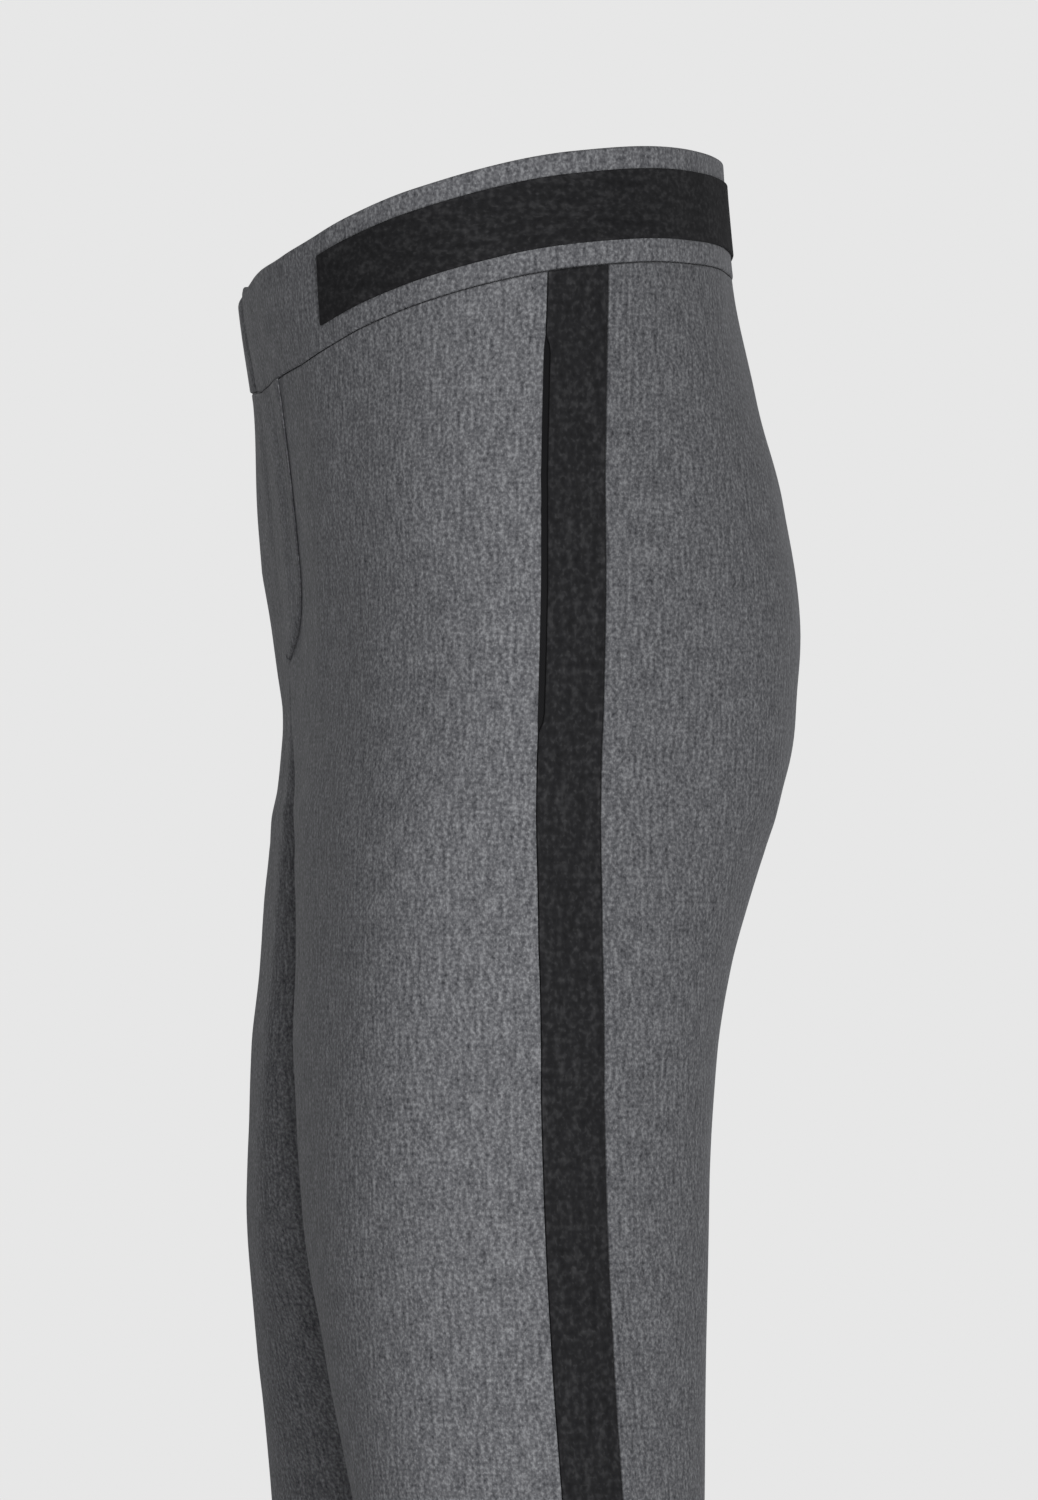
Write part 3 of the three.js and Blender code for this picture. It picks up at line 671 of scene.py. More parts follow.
def melange_group():
    """Colour of melange wool: fine dark and light fibres along the grain over a ground colour, with
    bright specks, longer slubs and soft clouds. value = flecks + 0.4 fibres + specks + 0.5 slubs, and
    clouds. Above 0 it mixes in the light fibre and below 0 the dark one. The same spots give the nap's
    height."""
    group = bpy.data.node_groups.new("melange wool", "ShaderNodeTree")
    sockets = group.interface
    sockets.new_socket("Place", in_out="INPUT", socket_type="NodeSocketVector")
    for name in ("Ground", "Light fibre", "Dark fibre"):
        sockets.new_socket(name, in_out="INPUT", socket_type="NodeSocketColor")
    for name in ("Fleck width", "Fleck length", "Flecks", "Clouds"):
        sockets.new_socket(name, in_out="INPUT", socket_type="NodeSocketFloat")
    sockets.new_socket("Color", in_out="OUTPUT", socket_type="NodeSocketColor")
    sockets.new_socket("Roughness", in_out="OUTPUT", socket_type="NodeSocketFloat")
    sockets.new_socket("Height", in_out="OUTPUT", socket_type="NodeSocketFloat")
    given = group.nodes.new("NodeGroupInput").outputs
    made = group.nodes.new("NodeGroupOutput").inputs
    place, width, length = given["Place"], given["Fleck width"], given["Fleck length"]

    def add(first, second):
        return math_node(group, "ADD", first, second)

    def times(first, second, clamp=False):
        return math_node(group, "MULTIPLY", first, second, clamp)

    def spots(kind, middle=SPOT_MIDDLE):
        row = dict(zip(SPOT_COLUMNS, SPOT_ROWS[kind]))
        wide, long = times(width, row["width"]), times(length, row["length"])
        noise = stretched_noise(group, place, wide, long, row["detail"], row["shift"])
        return math_node(group, "SUBTRACT", noise, middle)

    flecks, fibres, slubs, clouds = (spots(kind) for kind in ("flecks", "fibres", "slubs", "clouds"))
    specks = times(times(spots("specks", SPECK_FROM), SPECK_GAIN, clamp=True), SPECK_SHARE)
    fine = add(add(flecks, times(fibres, FIBRE_SHARE)), specks)
    mixed = add(fine, times(slubs, SLUB_SHARE))
    value = add(times(mixed, given["Flecks"]), times(clouds, given["Clouds"]))
    light, dark = times(value, TONE_GAIN, clamp=True), times(value, -TONE_GAIN, clamp=True)
    ground = mix_colours(group, dark, given["Ground"], given["Dark fibre"])
    link(group, mix_colours(group, light, ground, given["Light fibre"]), made["Color"])
    link(group, add(times(mixed, NAP_GLOSS), NAP_ROUGHNESS), made["Roughness"])
    link(group, add(mixed, SPOT_MIDDLE), made["Height"])


SHIFT_ALONG = 1.7  # a finish is moved this much farther along the cloth than across it


def cloth_place(tree, grain_across, shift):
    """The piece's own UV map in metres, moved by shift. With grain_across the grain runs along u."""
    uv = add_node(tree, "ShaderNodeUVMap", uv_map="cut")
    turn = (0, 0, math.radians(90) if grain_across else 0)
    place = add_node(
        tree, "ShaderNodeMapping", inputs={"Location": (shift, shift * SHIFT_ALONG, 0), "Rotation": turn}
    )
    link(tree, uv.outputs[0], place.inputs["Vector"])
    return place.outputs[0]


def new_material(name):
    """New material, as (material, its node tree, its shader)."""
    material = bpy.data.materials.new(name)
    material.use_nodes = True
    return material, material.node_tree, material.node_tree.nodes["Principled BSDF"]


WOOL_SPECULAR = 0.2
SHEEN_ROUGHNESS = 0.45


def wool(name, colours, finish, grain_across=False, shift=0.0, shade=1.0, flecks=1.0, coarse=1.0):
    """Matt wool cloth with a soft nap that catches light at grazing angles. colours are its ground, its
    light and its dark fibres; shade dims them all, and coarse enlarges the flecks."""
    material, tree, shader = new_material(name)
    melange = add_node(tree, "ShaderNodeGroup", node_tree=bpy.data.node_groups["melange wool"])
    link(tree, cloth_place(tree, grain_across, shift), melange.inputs["Place"])
    for socket, colour in zip(("Ground", "Light fibre", "Dark fibre"), colours):
        melange.inputs[socket].default_value = (*(shade * c for c in colour), 1)
    melange.inputs["Fleck width"].default_value = finish.fleck_width * coarse
    melange.inputs["Fleck length"].default_value = finish.fleck_length * coarse
    melange.inputs["Flecks"].default_value = flecks
    melange.inputs["Clouds"].default_value = finish.clouds
    link(tree, melange.outputs["Color"], shader.inputs["Base Color"])
    link(tree, melange.outputs["Roughness"], shader.inputs["Roughness"])
    relief = {"Strength": finish.nap_strength, "Distance": finish.nap_depth}
    bump = add_node(tree, "ShaderNodeBump", inputs=relief)
    link(tree, melange.outputs["Height"], bump.inputs["Height"])
    link(tree, bump.outputs[0], shader.inputs["Normal"])
    shader.inputs["Specular IOR Level"].default_value = WOOL_SPECULAR
    shader.inputs["Sheen Weight"].default_value = finish.sheen
    shader.inputs["Sheen Roughness"].default_value = SHEEN_ROUGHNESS
    shader.inputs["Sheen Tint"].default_value = (*colours[1], 1)
    return material


TWILL_SLANT = 0.6
TWILL_RELIEF = {"Strength": 0.4, "Distance": 0.0001}
WOVEN_SPECULAR = 0.1


def woven(name, base, lighter, spacing, roughness):
    """Plain smooth cloth: fine diagonal twill lines, a sine across the slant, between the base colour
    and one that is `lighter` times as light."""
    material, tree, shader = new_material(name)
    place = cloth_place(tree, False, 0.0)
    parts = add_node(tree, "ShaderNodeSeparateXYZ")
    link(tree, place, parts.inputs[0])
    down = math_node(tree, "MULTIPLY", parts.outputs[1], TWILL_SLANT)
    slant = math_node(tree, "ADD", parts.outputs[0], down)
    wave = math_node(tree, "SINE", math_node(tree, "MULTIPLY", slant, 2 * math.pi / spacing))
    twill = math_node(tree, "ADD", math_node(tree, "MULTIPLY", wave, 0.5), 0.5)
    two = (*base, 1), (*(lighter * c for c in base), 1)
    link(tree, mix_colours(tree, twill, *two), shader.inputs["Base Color"])
    bump = add_node(tree, "ShaderNodeBump", inputs=TWILL_RELIEF)
    link(tree, twill, bump.inputs["Height"])
    link(tree, bump.outputs[0], shader.inputs["Normal"])
    shader.inputs["Roughness"].default_value = roughness
    shader.inputs["Specular IOR Level"].default_value = WOVEN_SPECULAR
    return material


TWIST_SIZE = 0.0003
TWIST_SHIFT = 2.0
THREAD_LIGHTER = 1.6
THREAD_ROUGHNESS = 0.6


def thread(name, colour):
    """Sewing thread: small lighter spots of twist on a dull ground."""
    material, tree, shader = new_material(name)
    place = add_node(tree, "ShaderNodeTexCoord")
    twist = stretched_noise(tree, place.outputs["Object"], TWIST_SIZE, TWIST_SIZE, 0.0, TWIST_SHIFT)
    two = (*colour, 1), (*(THREAD_LIGHTER * c for c in colour), 1)
    link(tree, mix_colours(tree, twist, *two), shader.inputs["Base Color"])
    shader.inputs["Roughness"].default_value = THREAD_ROUGHNESS
    return material


def finish_named(name):
    """A finish by its name, made when it is first wanted."""
    if name in bpy.data.materials:
        return bpy.data.materials[name]
    if "melange wool" not in bpy.data.node_groups:
        melange_group()
    look = bpy.context.scene.trouser_finish
    grey = (look.grey_ground, look.grey_light, look.grey_dark)
    charcoal = (look.charcoal_ground, look.charcoal_light, look.charcoal_dark)
    dark = {"flecks": look.charcoal_flecks, "coarse": look.charcoal_coarse}
    makers = {
        "grey flannel": lambda: wool(name, grey, look),
        # The backs are the same grey flannel with dimmed colours: painted shade, because the backs turn away
        # from the light.
        "grey flannel with painted shade, for the back": lambda: wool(name, grey, look, shift=0.19, shade=look.back_painted_shade),
        "grey flannel of the waistband": lambda: wool(name, grey, look, shift=0.31),
        "charcoal flannel": lambda: wool(name, charcoal, look, shift=0.53, **dark),
        "charcoal flannel of the tape": lambda: wool(
            name, charcoal, look, grain_across=True, shift=0.77, shade=look.tape_shade, **dark
        ),
        # The pocket lining is near black: partly its own colour, partly painted shade for the pocket mouth's
        # opening.
        "pocket lining": lambda: woven(name, look.lining_and_mouth_shade, 1.3, 0.0008, 0.6),
        # The thread is near black: the dashes' colour also paints the shade in the waist seam's ditch.
        "thread": lambda: thread(name, look.thread),
        "zip tape": lambda: woven(name, look.zip_tape, 1.6, 0.0006, 0.55),
    }
    return makers[name]()


# ---- Pieces ----


def panel(rows, columns, start, stop, sizes, edges, face=0.0, thickness=None):
    """Wall over one half between two edges, as the heights, the lengths and the offsets of its two
    faces. edges says how each of start, stop, low and high is finished: a radius where it is sewn, or
    None where it is free."""
    height, length = settle(rows, columns, start, stop)
    around = around_at(height, length)
    distances = {
        "start": length - start(height),
        "stop": stop(height) - length,
        "low": height - height.min(axis=0) + EDGE_STEPS[0],
        "high": seam_height(around) - GAP / 2 - height,
    }
    sewn = [(distances[name], radius) for name, radius in edges.items() if radius is not None]
    free = [distances[name] for name, radius in edges.items() if radius is None]
    thick = sizes.cloth_thickness / MM if thickness is None else thickness
    outer, inner = faces_of_wall(face + np.zeros_like(height), thick, sewn, free)
    return height, length, outer, inner


def mouth_open(height):
    """1 along the pocket mouth and 0 past its ends."""
    below_top = 1 - smooth_between(height, MOUTH_TOP - MOUTH_RAMP, MOUTH_TOP)
    return below_top * smooth_between(height, MOUTH_BOTTOM, MOUTH_BOTTOM + MOUTH_RAMP)


def centre_front(height):
    return CENTRE_GAP / 2 - front_length(height)


def centre_back(height):
    return back_length(height) - CENTRE_GAP / 2


def front_edge(height):
    return -(STRIPE_WIDTH / 2 + GAP + MOUTH_SETBACK * mouth_open(height))


def stripe_edge(height):
    return -(STRIPE_WIDTH / 2 - MOUTH_GAP * mouth_open(height))


def at_length(length):
    return lambda height: np.full_like(height, length)


def both_points(side, height, length, outer, inner, keep_side=True):
    """Points of a wall's two faces."""
    return (
        cloth_points(side, height, length, outer, keep_side),
        cloth_points(side, height, length, inner, keep_side),
    )


def close_at_middle(side, height, faces, column):
    """Moves one edge of a wall into the middle plane above the crotch, where the two halves meet."""
    middle = CENTRE_GAP / 2 if side == "left" else -CENTRE_GAP / 2
    above = height[:, column] > 0
    for points in faces:
        points[above, column, 0] = middle


def make_panel(side, name, start, stop, wide, sizes, finish):
    """One panel of the legs from hem to waist seam. Its long edges turn in softly, and its lower edge
    rolls in to the hem."""
    step = sizes.grid_step / MM
    soft = sizes.stripe_roll / MM
    edges = {"start": soft, "stop": soft, "low": sizes.hem_roll / MM, "high": sizes.seam_roll / MM}
    columns = stations(wide, step)
    height, length, outer, inner = panel(panel_levels(step), columns, start, stop, sizes, edges)
    faces = both_points(side, height, length, outer, inner)
    if start is centre_front:
        close_at_middle(side, height, faces, 0)
    if stop is centre_back:
        close_at_middle(side, height, faces, -1)
    make_cloth(f"{name}_{side}", faces, height, length, finish)


def make_front(side, sizes):
    finish = finish_named("grey flannel")
    make_panel(side, "front", centre_front, front_edge, PANEL_SPAN, sizes, finish)


def make_back(side, sizes):
    start = at_length(STRIPE_WIDTH / 2 + GAP)
    finish = finish_named("grey flannel with painted shade, for the back")
    # The backs' darker flannel is painted shade.
    make_panel(side, "back", start, centre_back, PANEL_SPAN, sizes, finish)


def make_stripe(side, sizes):
    stop = at_length(STRIPE_WIDTH / 2)
    finish = finish_named("charcoal flannel")
    make_panel(side, "stripe", stripe_edge, stop, STRIPE_WIDTH, sizes, finish)


def band_grid(start, stop, wide, low, high, sizes):
    """Grid over the waistband between two heights above the waist seam."""
    share, distance = stations(high - low, BAND_ROW)
    level = low + (high - low) * share + distance
    columns = stations(wide, sizes.grid_step / MM)
    rows = level, np.ones(len(level))
    return settle(rows, columns, start, stop, in_band=True), level


def tongue_drop(length, height):
    """How far the right band's end lies below its face: it drops behind the left band's end."""
    past = -length - front_length(height)
    lap_end = -(BAND_LAP + GAP)
    return (BAND_THICKNESS + GAP) * smooth_between(past, lap_end - TONGUE_STEP, lap_end)


def make_waistband(side, sizes):
    """Band of double cloth with a folded top edge. Its seam edge rolls in to the waist seam. The left
    end rises a little and has a round top corner, and the right end is lower and lies behind it."""
    lap = BAND_LAP if side == "left" else TONGUE_LENGTH
    start = lambda height: -front_length(height) - lap
    (height, length), level = band_grid(start, centre_back, BAND_SPAN, GAP / 2, BAND_HEIGHT, sizes)
    down, up = level[:, None] - GAP / 2, BAND_HEIGHT - level[:, None]
    zero = np.zeros_like(height)
    aside = length + front_length(height)
    if side == "left":
        rise = END_RISE * (1 - smooth_between(aside, *END_RUN))
        lower = quarter_round(length - start(height), BAND_CORNER) - rise
    else:
        lower = UNDER_DROP * (1 - smooth_between(aside, *UNDER_RUN))
    height = height - lower * level[:, None] / BAND_HEIGHT
    face = BAND_PROUD + zero
    if side == "right":
        face = face - tongue_drop(length, height)
    sewn = [(down + zero, sizes.seam_roll / MM), (centre_back(height) - length, sizes.stripe_roll / MM)]
    free = [up + zero, length - start(height)]
    outer, inner = faces_of_wall(face, BAND_THICKNESS, sewn, free)
    faces = both_points(side, height, length, outer, inner, keep_side=False)
    close_at_middle(side, height, faces, -1)
    finish = finish_named("grey flannel of the waistband")
    flat = (float((length[-1, -1] - length[-1, 0]) * MM), BAND_HEIGHT * MM)
    make_cloth(f"waistband_{side}", faces, height, length, finish, flat)


def make_stitches(side):
    """Thread dashes sunk in the waist seam: closed bars of uneven length. Their near-black colour also
    paints the shade in the seam's ditch. A bar's girth falls to its ends as sqrt(1 - place^2), and its
    length varies along the seam by a sum of sines."""
    level = seam_height(0.0)
    middles = np.arange(
        STITCH_INSET - front_length(level), back_length(level) - STITCH_INSET, STITCH_SPACING
    )
    number = np.arange(len(middles))
    uneven = STITCH_UNEVEN * sum(np.sin(number * turn + phase) for turn, phase in STITCH_WAVES)
    half = STITCH_LENGTH / 2 * (1 + uneven)
    turn = np.linspace(0, 2 * math.pi, STITCH_SIDES, endpoint=False)
    length = middles[:, None, None] + (STITCH_RINGS * half[:, None])[:, :, None] + 0 * turn
    girth = STITCH_WIDTH / 2 * np.sqrt(1 - STITCH_RINGS**2)[None, :, None]
    height = np.full_like(length, level)
    for _ in range(HEIGHT_PASSES):
        height = seam_height(around_at(height, length))
    offset = STITCH_OFFSET + girth * np.sin(turn)
    points = cloth_points(side, height + girth * np.cos(turn), length, offset, keep_side=False)
    ring = np.arange(STITCH_SIDES)
    ahead = np.roll(ring, -1)
    first = np.arange(len(STITCH_RINGS) - 1)[:, None] * STITCH_SIDES
    last = first[-1] + STITCH_SIDES
    corners = [first + ring, first + ahead, first + STITCH_SIDES + ahead, first + STITCH_SIDES + ring]
    bars = number[:, None] * len(STITCH_RINGS) * STITCH_SIDES
    faces = (bars[:, :, None] + np.stack(corners, axis=-1).reshape(1, -1, 4)).reshape(-1, 4).tolist()
    faces += (bars + ring[::-1]).tolist() + (bars + last + ring).tolist()
    node = f"waist_stitches_{side}"
    mesh = bpy.data.meshes.new(node)
    points = (points.reshape(-1, 3) - [0, 0, WAIST_HEIGHT]) * MM
    mesh.from_pydata(points.tolist(), [], [face[::-1] for face in faces] if side == "right" else faces)
    mesh.shade_smooth()
    piece = add_object(node, mesh)
    mesh.materials.append(finish_named("thread"))
    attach(piece, "root")


def make_tape(side, sizes):
    """Dark tape laid on the band, with thin rounded edges."""
    top = BAND_HEIGHT - TAPE_BELOW_TOP
    start = lambda height: TAPE_START - front_length(height)
    (height, length), level = band_grid(start, centre_back, TAPE_SPAN, top - TAPE_WIDTH, top, sizes)
    zero = np.zeros_like(height)
    edge = sizes.tape_roll / MM
    down, up = level[:, None] - (top - TAPE_WIDTH) + zero, top - level[:, None] + zero
    sewn = [(down, edge), (up, edge), (length - start(height), edge), (centre_back(height) - length, edge)]
    face = BAND_PROUD + TAPE_THICKNESS + zero
    outer, inner = faces_of_wall(face, TAPE_THICKNESS - TAPE_LIFT, sewn)
    faces = both_points(side, height, length, outer, inner)
    close_at_middle(side, height, faces, -1)
    finish = finish_named("charcoal flannel of the tape")
    flat = (float((length[-1, -1] - length[-1, 0]) * MM), TAPE_WIDTH * MM)
    make_cloth(f"waist_tape_{side}", faces, height, length, finish, flat)


def fly_round(height):
    """Share of the fly lap's width left at a height: a quarter ellipse at its lower end."""
    rise = float(seam_height(-1))
    down = FLY_WIDTH - (height / rise - FLY_BOTTOM_SHARE) * rise
    return np.maximum(np.sqrt(1 - np.clip(down / FLY_WIDTH, 0, 1) ** 2), FLY_TIP_SHARE)


def pressed_edge(distance, thickness):
    """Thickness of a lap pressed flat towards its sewn edge."""
    return FLY_EDGE + (thickness - FLY_EDGE) * smooth_between(distance, 0, FLY_PRESSED)


def make_front_strip(
    node, start, stop, wide, face, thickness, finish, sizes, pressed=False
):
    """Strip over or behind the fly, from the lower end of the fly to the waist seam."""
    step = sizes.grid_step / MM * FLY_GRID
    share, distance = stations((1 - FLY_BOTTOM_SHARE) * float(seam_height(-1)), step)
    level = distance - GAP / 2 * share
    rise = FLY_BOTTOM_SHARE + (1 - FLY_BOTTOM_SHARE) * share
    columns = stations(wide, step)
    height, length = settle((level, rise), columns, start, stop)
    around = around_at(height, length)
    free = [
        length - start(height), stop(height) - length, height - height.min(axis=0) + EDGE_STEPS[0],
        seam_height(around) - GAP / 2 - height,
    ]
    outer, inner = faces_of_wall(face + np.zeros_like(height), thickness, (), free)
    if pressed:
        outer = np.minimum(outer, inner + pressed_edge(np.minimum(free[1], free[2]), thickness))
    faces = both_points("left", height, length, outer, inner, keep_side=False)
    make_cloth(node, faces, height, length, finish)


def make_pocket_bag(side, sizes):
    """Pocket bag behind the front. Its near-black edge in the pocket mouth is partly the bag's own
    colour and partly painted shade for the mouth's opening.
    """
    step = sizes.grid_step / MM
    rows = panel_levels(step, POCKET_BOTTOM)
    start, stop = at_length(-POCKET_DEPTH), at_length(0.0)
    edges = dict.fromkeys(("start", "stop", "low", "high"))
    columns = stations(POCKET_DEPTH, step)
    height, length, outer, inner = panel(
        rows, columns, start, stop, sizes, edges, face=POCKET_OFFSET, thickness=POCKET_THICKNESS
    )
    faces = both_points(side, height, length, outer, inner)
    finish = finish_named("pocket lining")
    make_cloth(f"pocket_bag_{side}", faces, height, length, finish)


def make_hem(side, sizes):
    """Turned-up hem inside the leg. Its lower edge rolls out to the panels' fold."""
    share, distance = stations(HEM_DEPTH, HEM_ROW)
    level = HEM_HEIGHT + HEM_DEPTH * share + distance
    count = round(HEM_ROUND / (sizes.grid_step / MM))
    around = np.linspace(-1, 1, count + 1)[None, :]
    height = level[:, None] + np.zeros_like(around)
    length = np.where(around < 0, around * front_length(height), around * back_length(height))
    zero = np.zeros_like(height)
    edge = sizes.hem_roll / MM
    top = (HEM_HEIGHT + HEM_DEPTH - level)[:, None] + zero
    outer, inner = faces_of_wall(HEM_OFFSET + zero, sizes.cloth_thickness / MM, (), [top])
    inner = inner + quarter_round((level - HEM_HEIGHT)[:, None] + zero, edge)
    faces = both_points(side, height, length, outer, inner)
    flat_places = np.stack([length, height + 2 * HEM_DEPTH], axis=-1)
    outer_points, inner_points = (points[:, :-1] for points in faces)
    mesh = wall_mesh(f"hem_{side}", outer_points, inner_points, flat_places, flip=side == "right", ring=True)
    round_hem = float(length[0, -1] - length[0, 0]) * MM
    finish = finish_named("grey flannel")
    flat = (round_hem, HEM_DEPTH * MM)
    finish_piece(f"hem_{side}", mesh, finish, flat, None)


# ---- Studio ----

FRAME_SIZE = (1038, 1500)
CAMERA_AZIMUTH = 80  # degrees from the garment's front towards its left side
CAMERA_DISTANCE = 2.6
CAMERA_ASIDE = 0.015
CAMERA_BELOW_CROTCH = 0.038
PIXELS_PER_METRE = 2600  # at the camera's distance
HORIZON_BELOW_CENTRE = 200  # pixels of the picture's frame
SENSOR_WIDTH = 36
CLIP_RANGE = (0.05, 60)


def make_camera():
    """Camera level with the thigh, turned up a little, at the picture's scale: the lens is the sensor's
    long side times the focal length in pixels over the frame's long side."""
    focal = CAMERA_DISTANCE * PIXELS_PER_METRE
    camera = bpy.data.cameras.new("camera")
    camera.sensor_width = SENSOR_WIDTH
    camera.lens = camera.sensor_width * focal / max(FRAME_SIZE)
    camera.clip_start, camera.clip_end = CLIP_RANGE
    holder = add_object("camera", camera)
    turn = math.radians(CAMERA_AZIMUTH)
    toward = Vector((math.sin(turn), -math.cos(turn), 0))
    aside = Vector((math.cos(turn), math.sin(turn), 0))
    place = toward * CAMERA_DISTANCE + aside * CAMERA_ASIDE
    place.z = -WAIST_HEIGHT * MM - CAMERA_BELOW_CROTCH
    pitch = math.atan(HORIZON_BELOW_CENTRE / focal)
    aim = -toward * math.cos(pitch) + Vector((0, 0, math.sin(pitch)))
    holder.location = place
    holder.rotation_mode = "QUATERNION"
    holder.rotation_quaternion = aim.to_track_quat("-Z", "Y")
    bpy.context.scene.camera = holder


LIGHT_COLUMNS = ("name", "azimuth", "elevation", "distance", "width", "height", "power")
LIGHT_ROWS = (
    ("side", 90, 12, 2.6, 0.9, 1.4, 0.96),
    ("side, low", 90, -15, 2.6, 0.9, 1.4, 0.83),
    ("front, high", 15, 40, 2.6, 0.9, 1.4, 0.35),
    ("far front", -75, 12, 2.6, 0.9, 1.4, 0.4),
    ("far back", 195, 12, 2.6, 0.9, 1.4, 0.38),
)
LIGHT_AIM = Vector((0.0, 0.0, -0.25))


def make_lights(studio):
    """Soft boxes round the garment, each turned to its middle."""
    for row in LIGHT_ROWS:
        light = dict(zip(LIGHT_COLUMNS, row))
        data = bpy.data.lights.new(light["name"], "AREA")
        data.shape = "RECTANGLE"
        data.size, data.size_y = light["width"], light["height"]
        data.energy = studio.light_power * light["power"]
        holder = add_object(light["name"], data)
        turn, rise = math.radians(light["azimuth"]), math.radians(light["elevation"])
        level = math.cos(rise)
        back = Vector((math.sin(turn) * level, -math.cos(turn) * level, math.sin(rise)))
        holder.location = LIGHT_AIM + back * light["distance"]
        holder.rotation_mode = "QUATERNION"
        holder.rotation_quaternion = (-back).to_track_quat("-Z", "Y")


def make_backdrop(studio):
    """Even pale backdrop as the camera sees it, and a dimmer one as light."""
    world = bpy.data.worlds.new("studio")
    bpy.context.scene.world = world
    world.use_nodes = True
    tree = world.node_tree
    tree.nodes.clear()
    colour = (*studio.backdrop, 1)
    seen, light = (
        add_node(tree, "ShaderNodeBackground", inputs={"Color": colour, "Strength": strength})
        for strength in (1.0, studio.ambient)
    )
    path = add_node(tree, "ShaderNodeLightPath")
    mix = add_node(tree, "ShaderNodeMixShader")
    out = add_node(tree, "ShaderNodeOutputWorld")
    link(tree, path.outputs["Is Camera Ray"], mix.inputs[0])
    link(tree, light.outputs[0], mix.inputs[1])
    link(tree, seen.outputs[0], mix.inputs[2])
    link(tree, mix.outputs[0], out.inputs["Surface"])


FLOOR_RADIUS = 2.4
FLOOR_FADE = 1.2  # the floor fades out from this radius to its rim
FLOOR_CENTRE = 0.02  # share of the radius that one face covers
FLOOR_RINGS = 12
FLOOR_ROUGHNESS = 0.9
FLOOR_SPOKES = 96


def make_floor(studio):
    """Pale disc just below the hems, as rings of points on a circle. It fades out towards its rim."""
    radius = np.linspace(FLOOR_CENTRE, 1, FLOOR_RINGS) * FLOOR_RADIUS
    turn = np.linspace(0, 2 * math.pi, FLOOR_SPOKES, endpoint=False)
    level = np.full(FLOOR_RINGS * FLOOR_SPOKES, (HEM_HEIGHT - WAIST_HEIGHT) * MM - studio.floor_drop)
    x, y = np.outer(radius, np.cos(turn)).ravel(), np.outer(radius, np.sin(turn)).ravel()
    grid = np.arange(FLOOR_RINGS * FLOOR_SPOKES).reshape(FLOOR_RINGS, FLOOR_SPOKES)
    ahead = np.roll(grid, -1, axis=1)
    faces = np.stack([grid[:-1], grid[1:], ahead[1:], ahead[:-1]], axis=-1).reshape(-1, 4).tolist()
    faces.append(grid[0].tolist())
    mesh = bpy.data.meshes.new("floor")
    mesh.from_pydata(np.stack([x, y, level], axis=-1).tolist(), [], faces)
    mesh.update()
    floor = add_object("floor", mesh)
    material, tree, shader = new_material("pale floor")
    shader.inputs["Base Color"].default_value = (*studio.backdrop, 1)
    shader.inputs["Roughness"].default_value = FLOOR_ROUGHNESS
    place = add_node(tree, "ShaderNodeTexCoord")
    reach = add_node(tree, "ShaderNodeVectorMath", operation="LENGTH")
    link(tree, place.outputs["Object"], reach.inputs[0])
    fade = add_node(
        tree, "ShaderNodeMapRange", interpolation_type="SMOOTHSTEP",
        inputs={"From Min": FLOOR_FADE, "From Max": FLOOR_RADIUS, "To Min": 1.0, "To Max": 0.0},
    )
    link(tree, reach.outputs["Value"], fade.inputs["Value"])
    link(tree, fade.outputs[0], shader.inputs["Alpha"])
    mesh.materials.append(material)


# ---- Settings ----


def colour_setting(name, description, default):
    return FloatVectorProperty(
        name=name, description=description, default=default, subtype="COLOR", size=3, min=0, max=1
    )


def size_setting(name, description, default):
    return FloatProperty(
        name=name, description=description, default=default, unit="LENGTH", precision=5, min=0
    )


def share_setting(name, description, default, largest=1):
    return FloatProperty(name=name, description=description, default=default, min=0, max=largest)


class TrouserSizes(bpy.types.PropertyGroup):
    """Sizes of the cloth and its edges, in metres."""

    cloth_thickness: size_setting("Cloth", "Thickness of the wool cloth", 0.0014)
    seam_roll: size_setting("Waist seam roll", "Radius of the cloth's turn into the waist seam", 0.0009)
    stripe_roll: size_setting("Side seam roll", "Radius of the cloth's turn into the long seams", 0.0004)
    hem_roll: size_setting("Hem roll", "Radius of the fold at the hem", 0.0013)
    tape_roll: size_setting("Tape edge", "Radius of the tape's edges", 0.0006)
    grid_step: size_setting("Grid step", "Distance between the points of a panel", 0.0034)


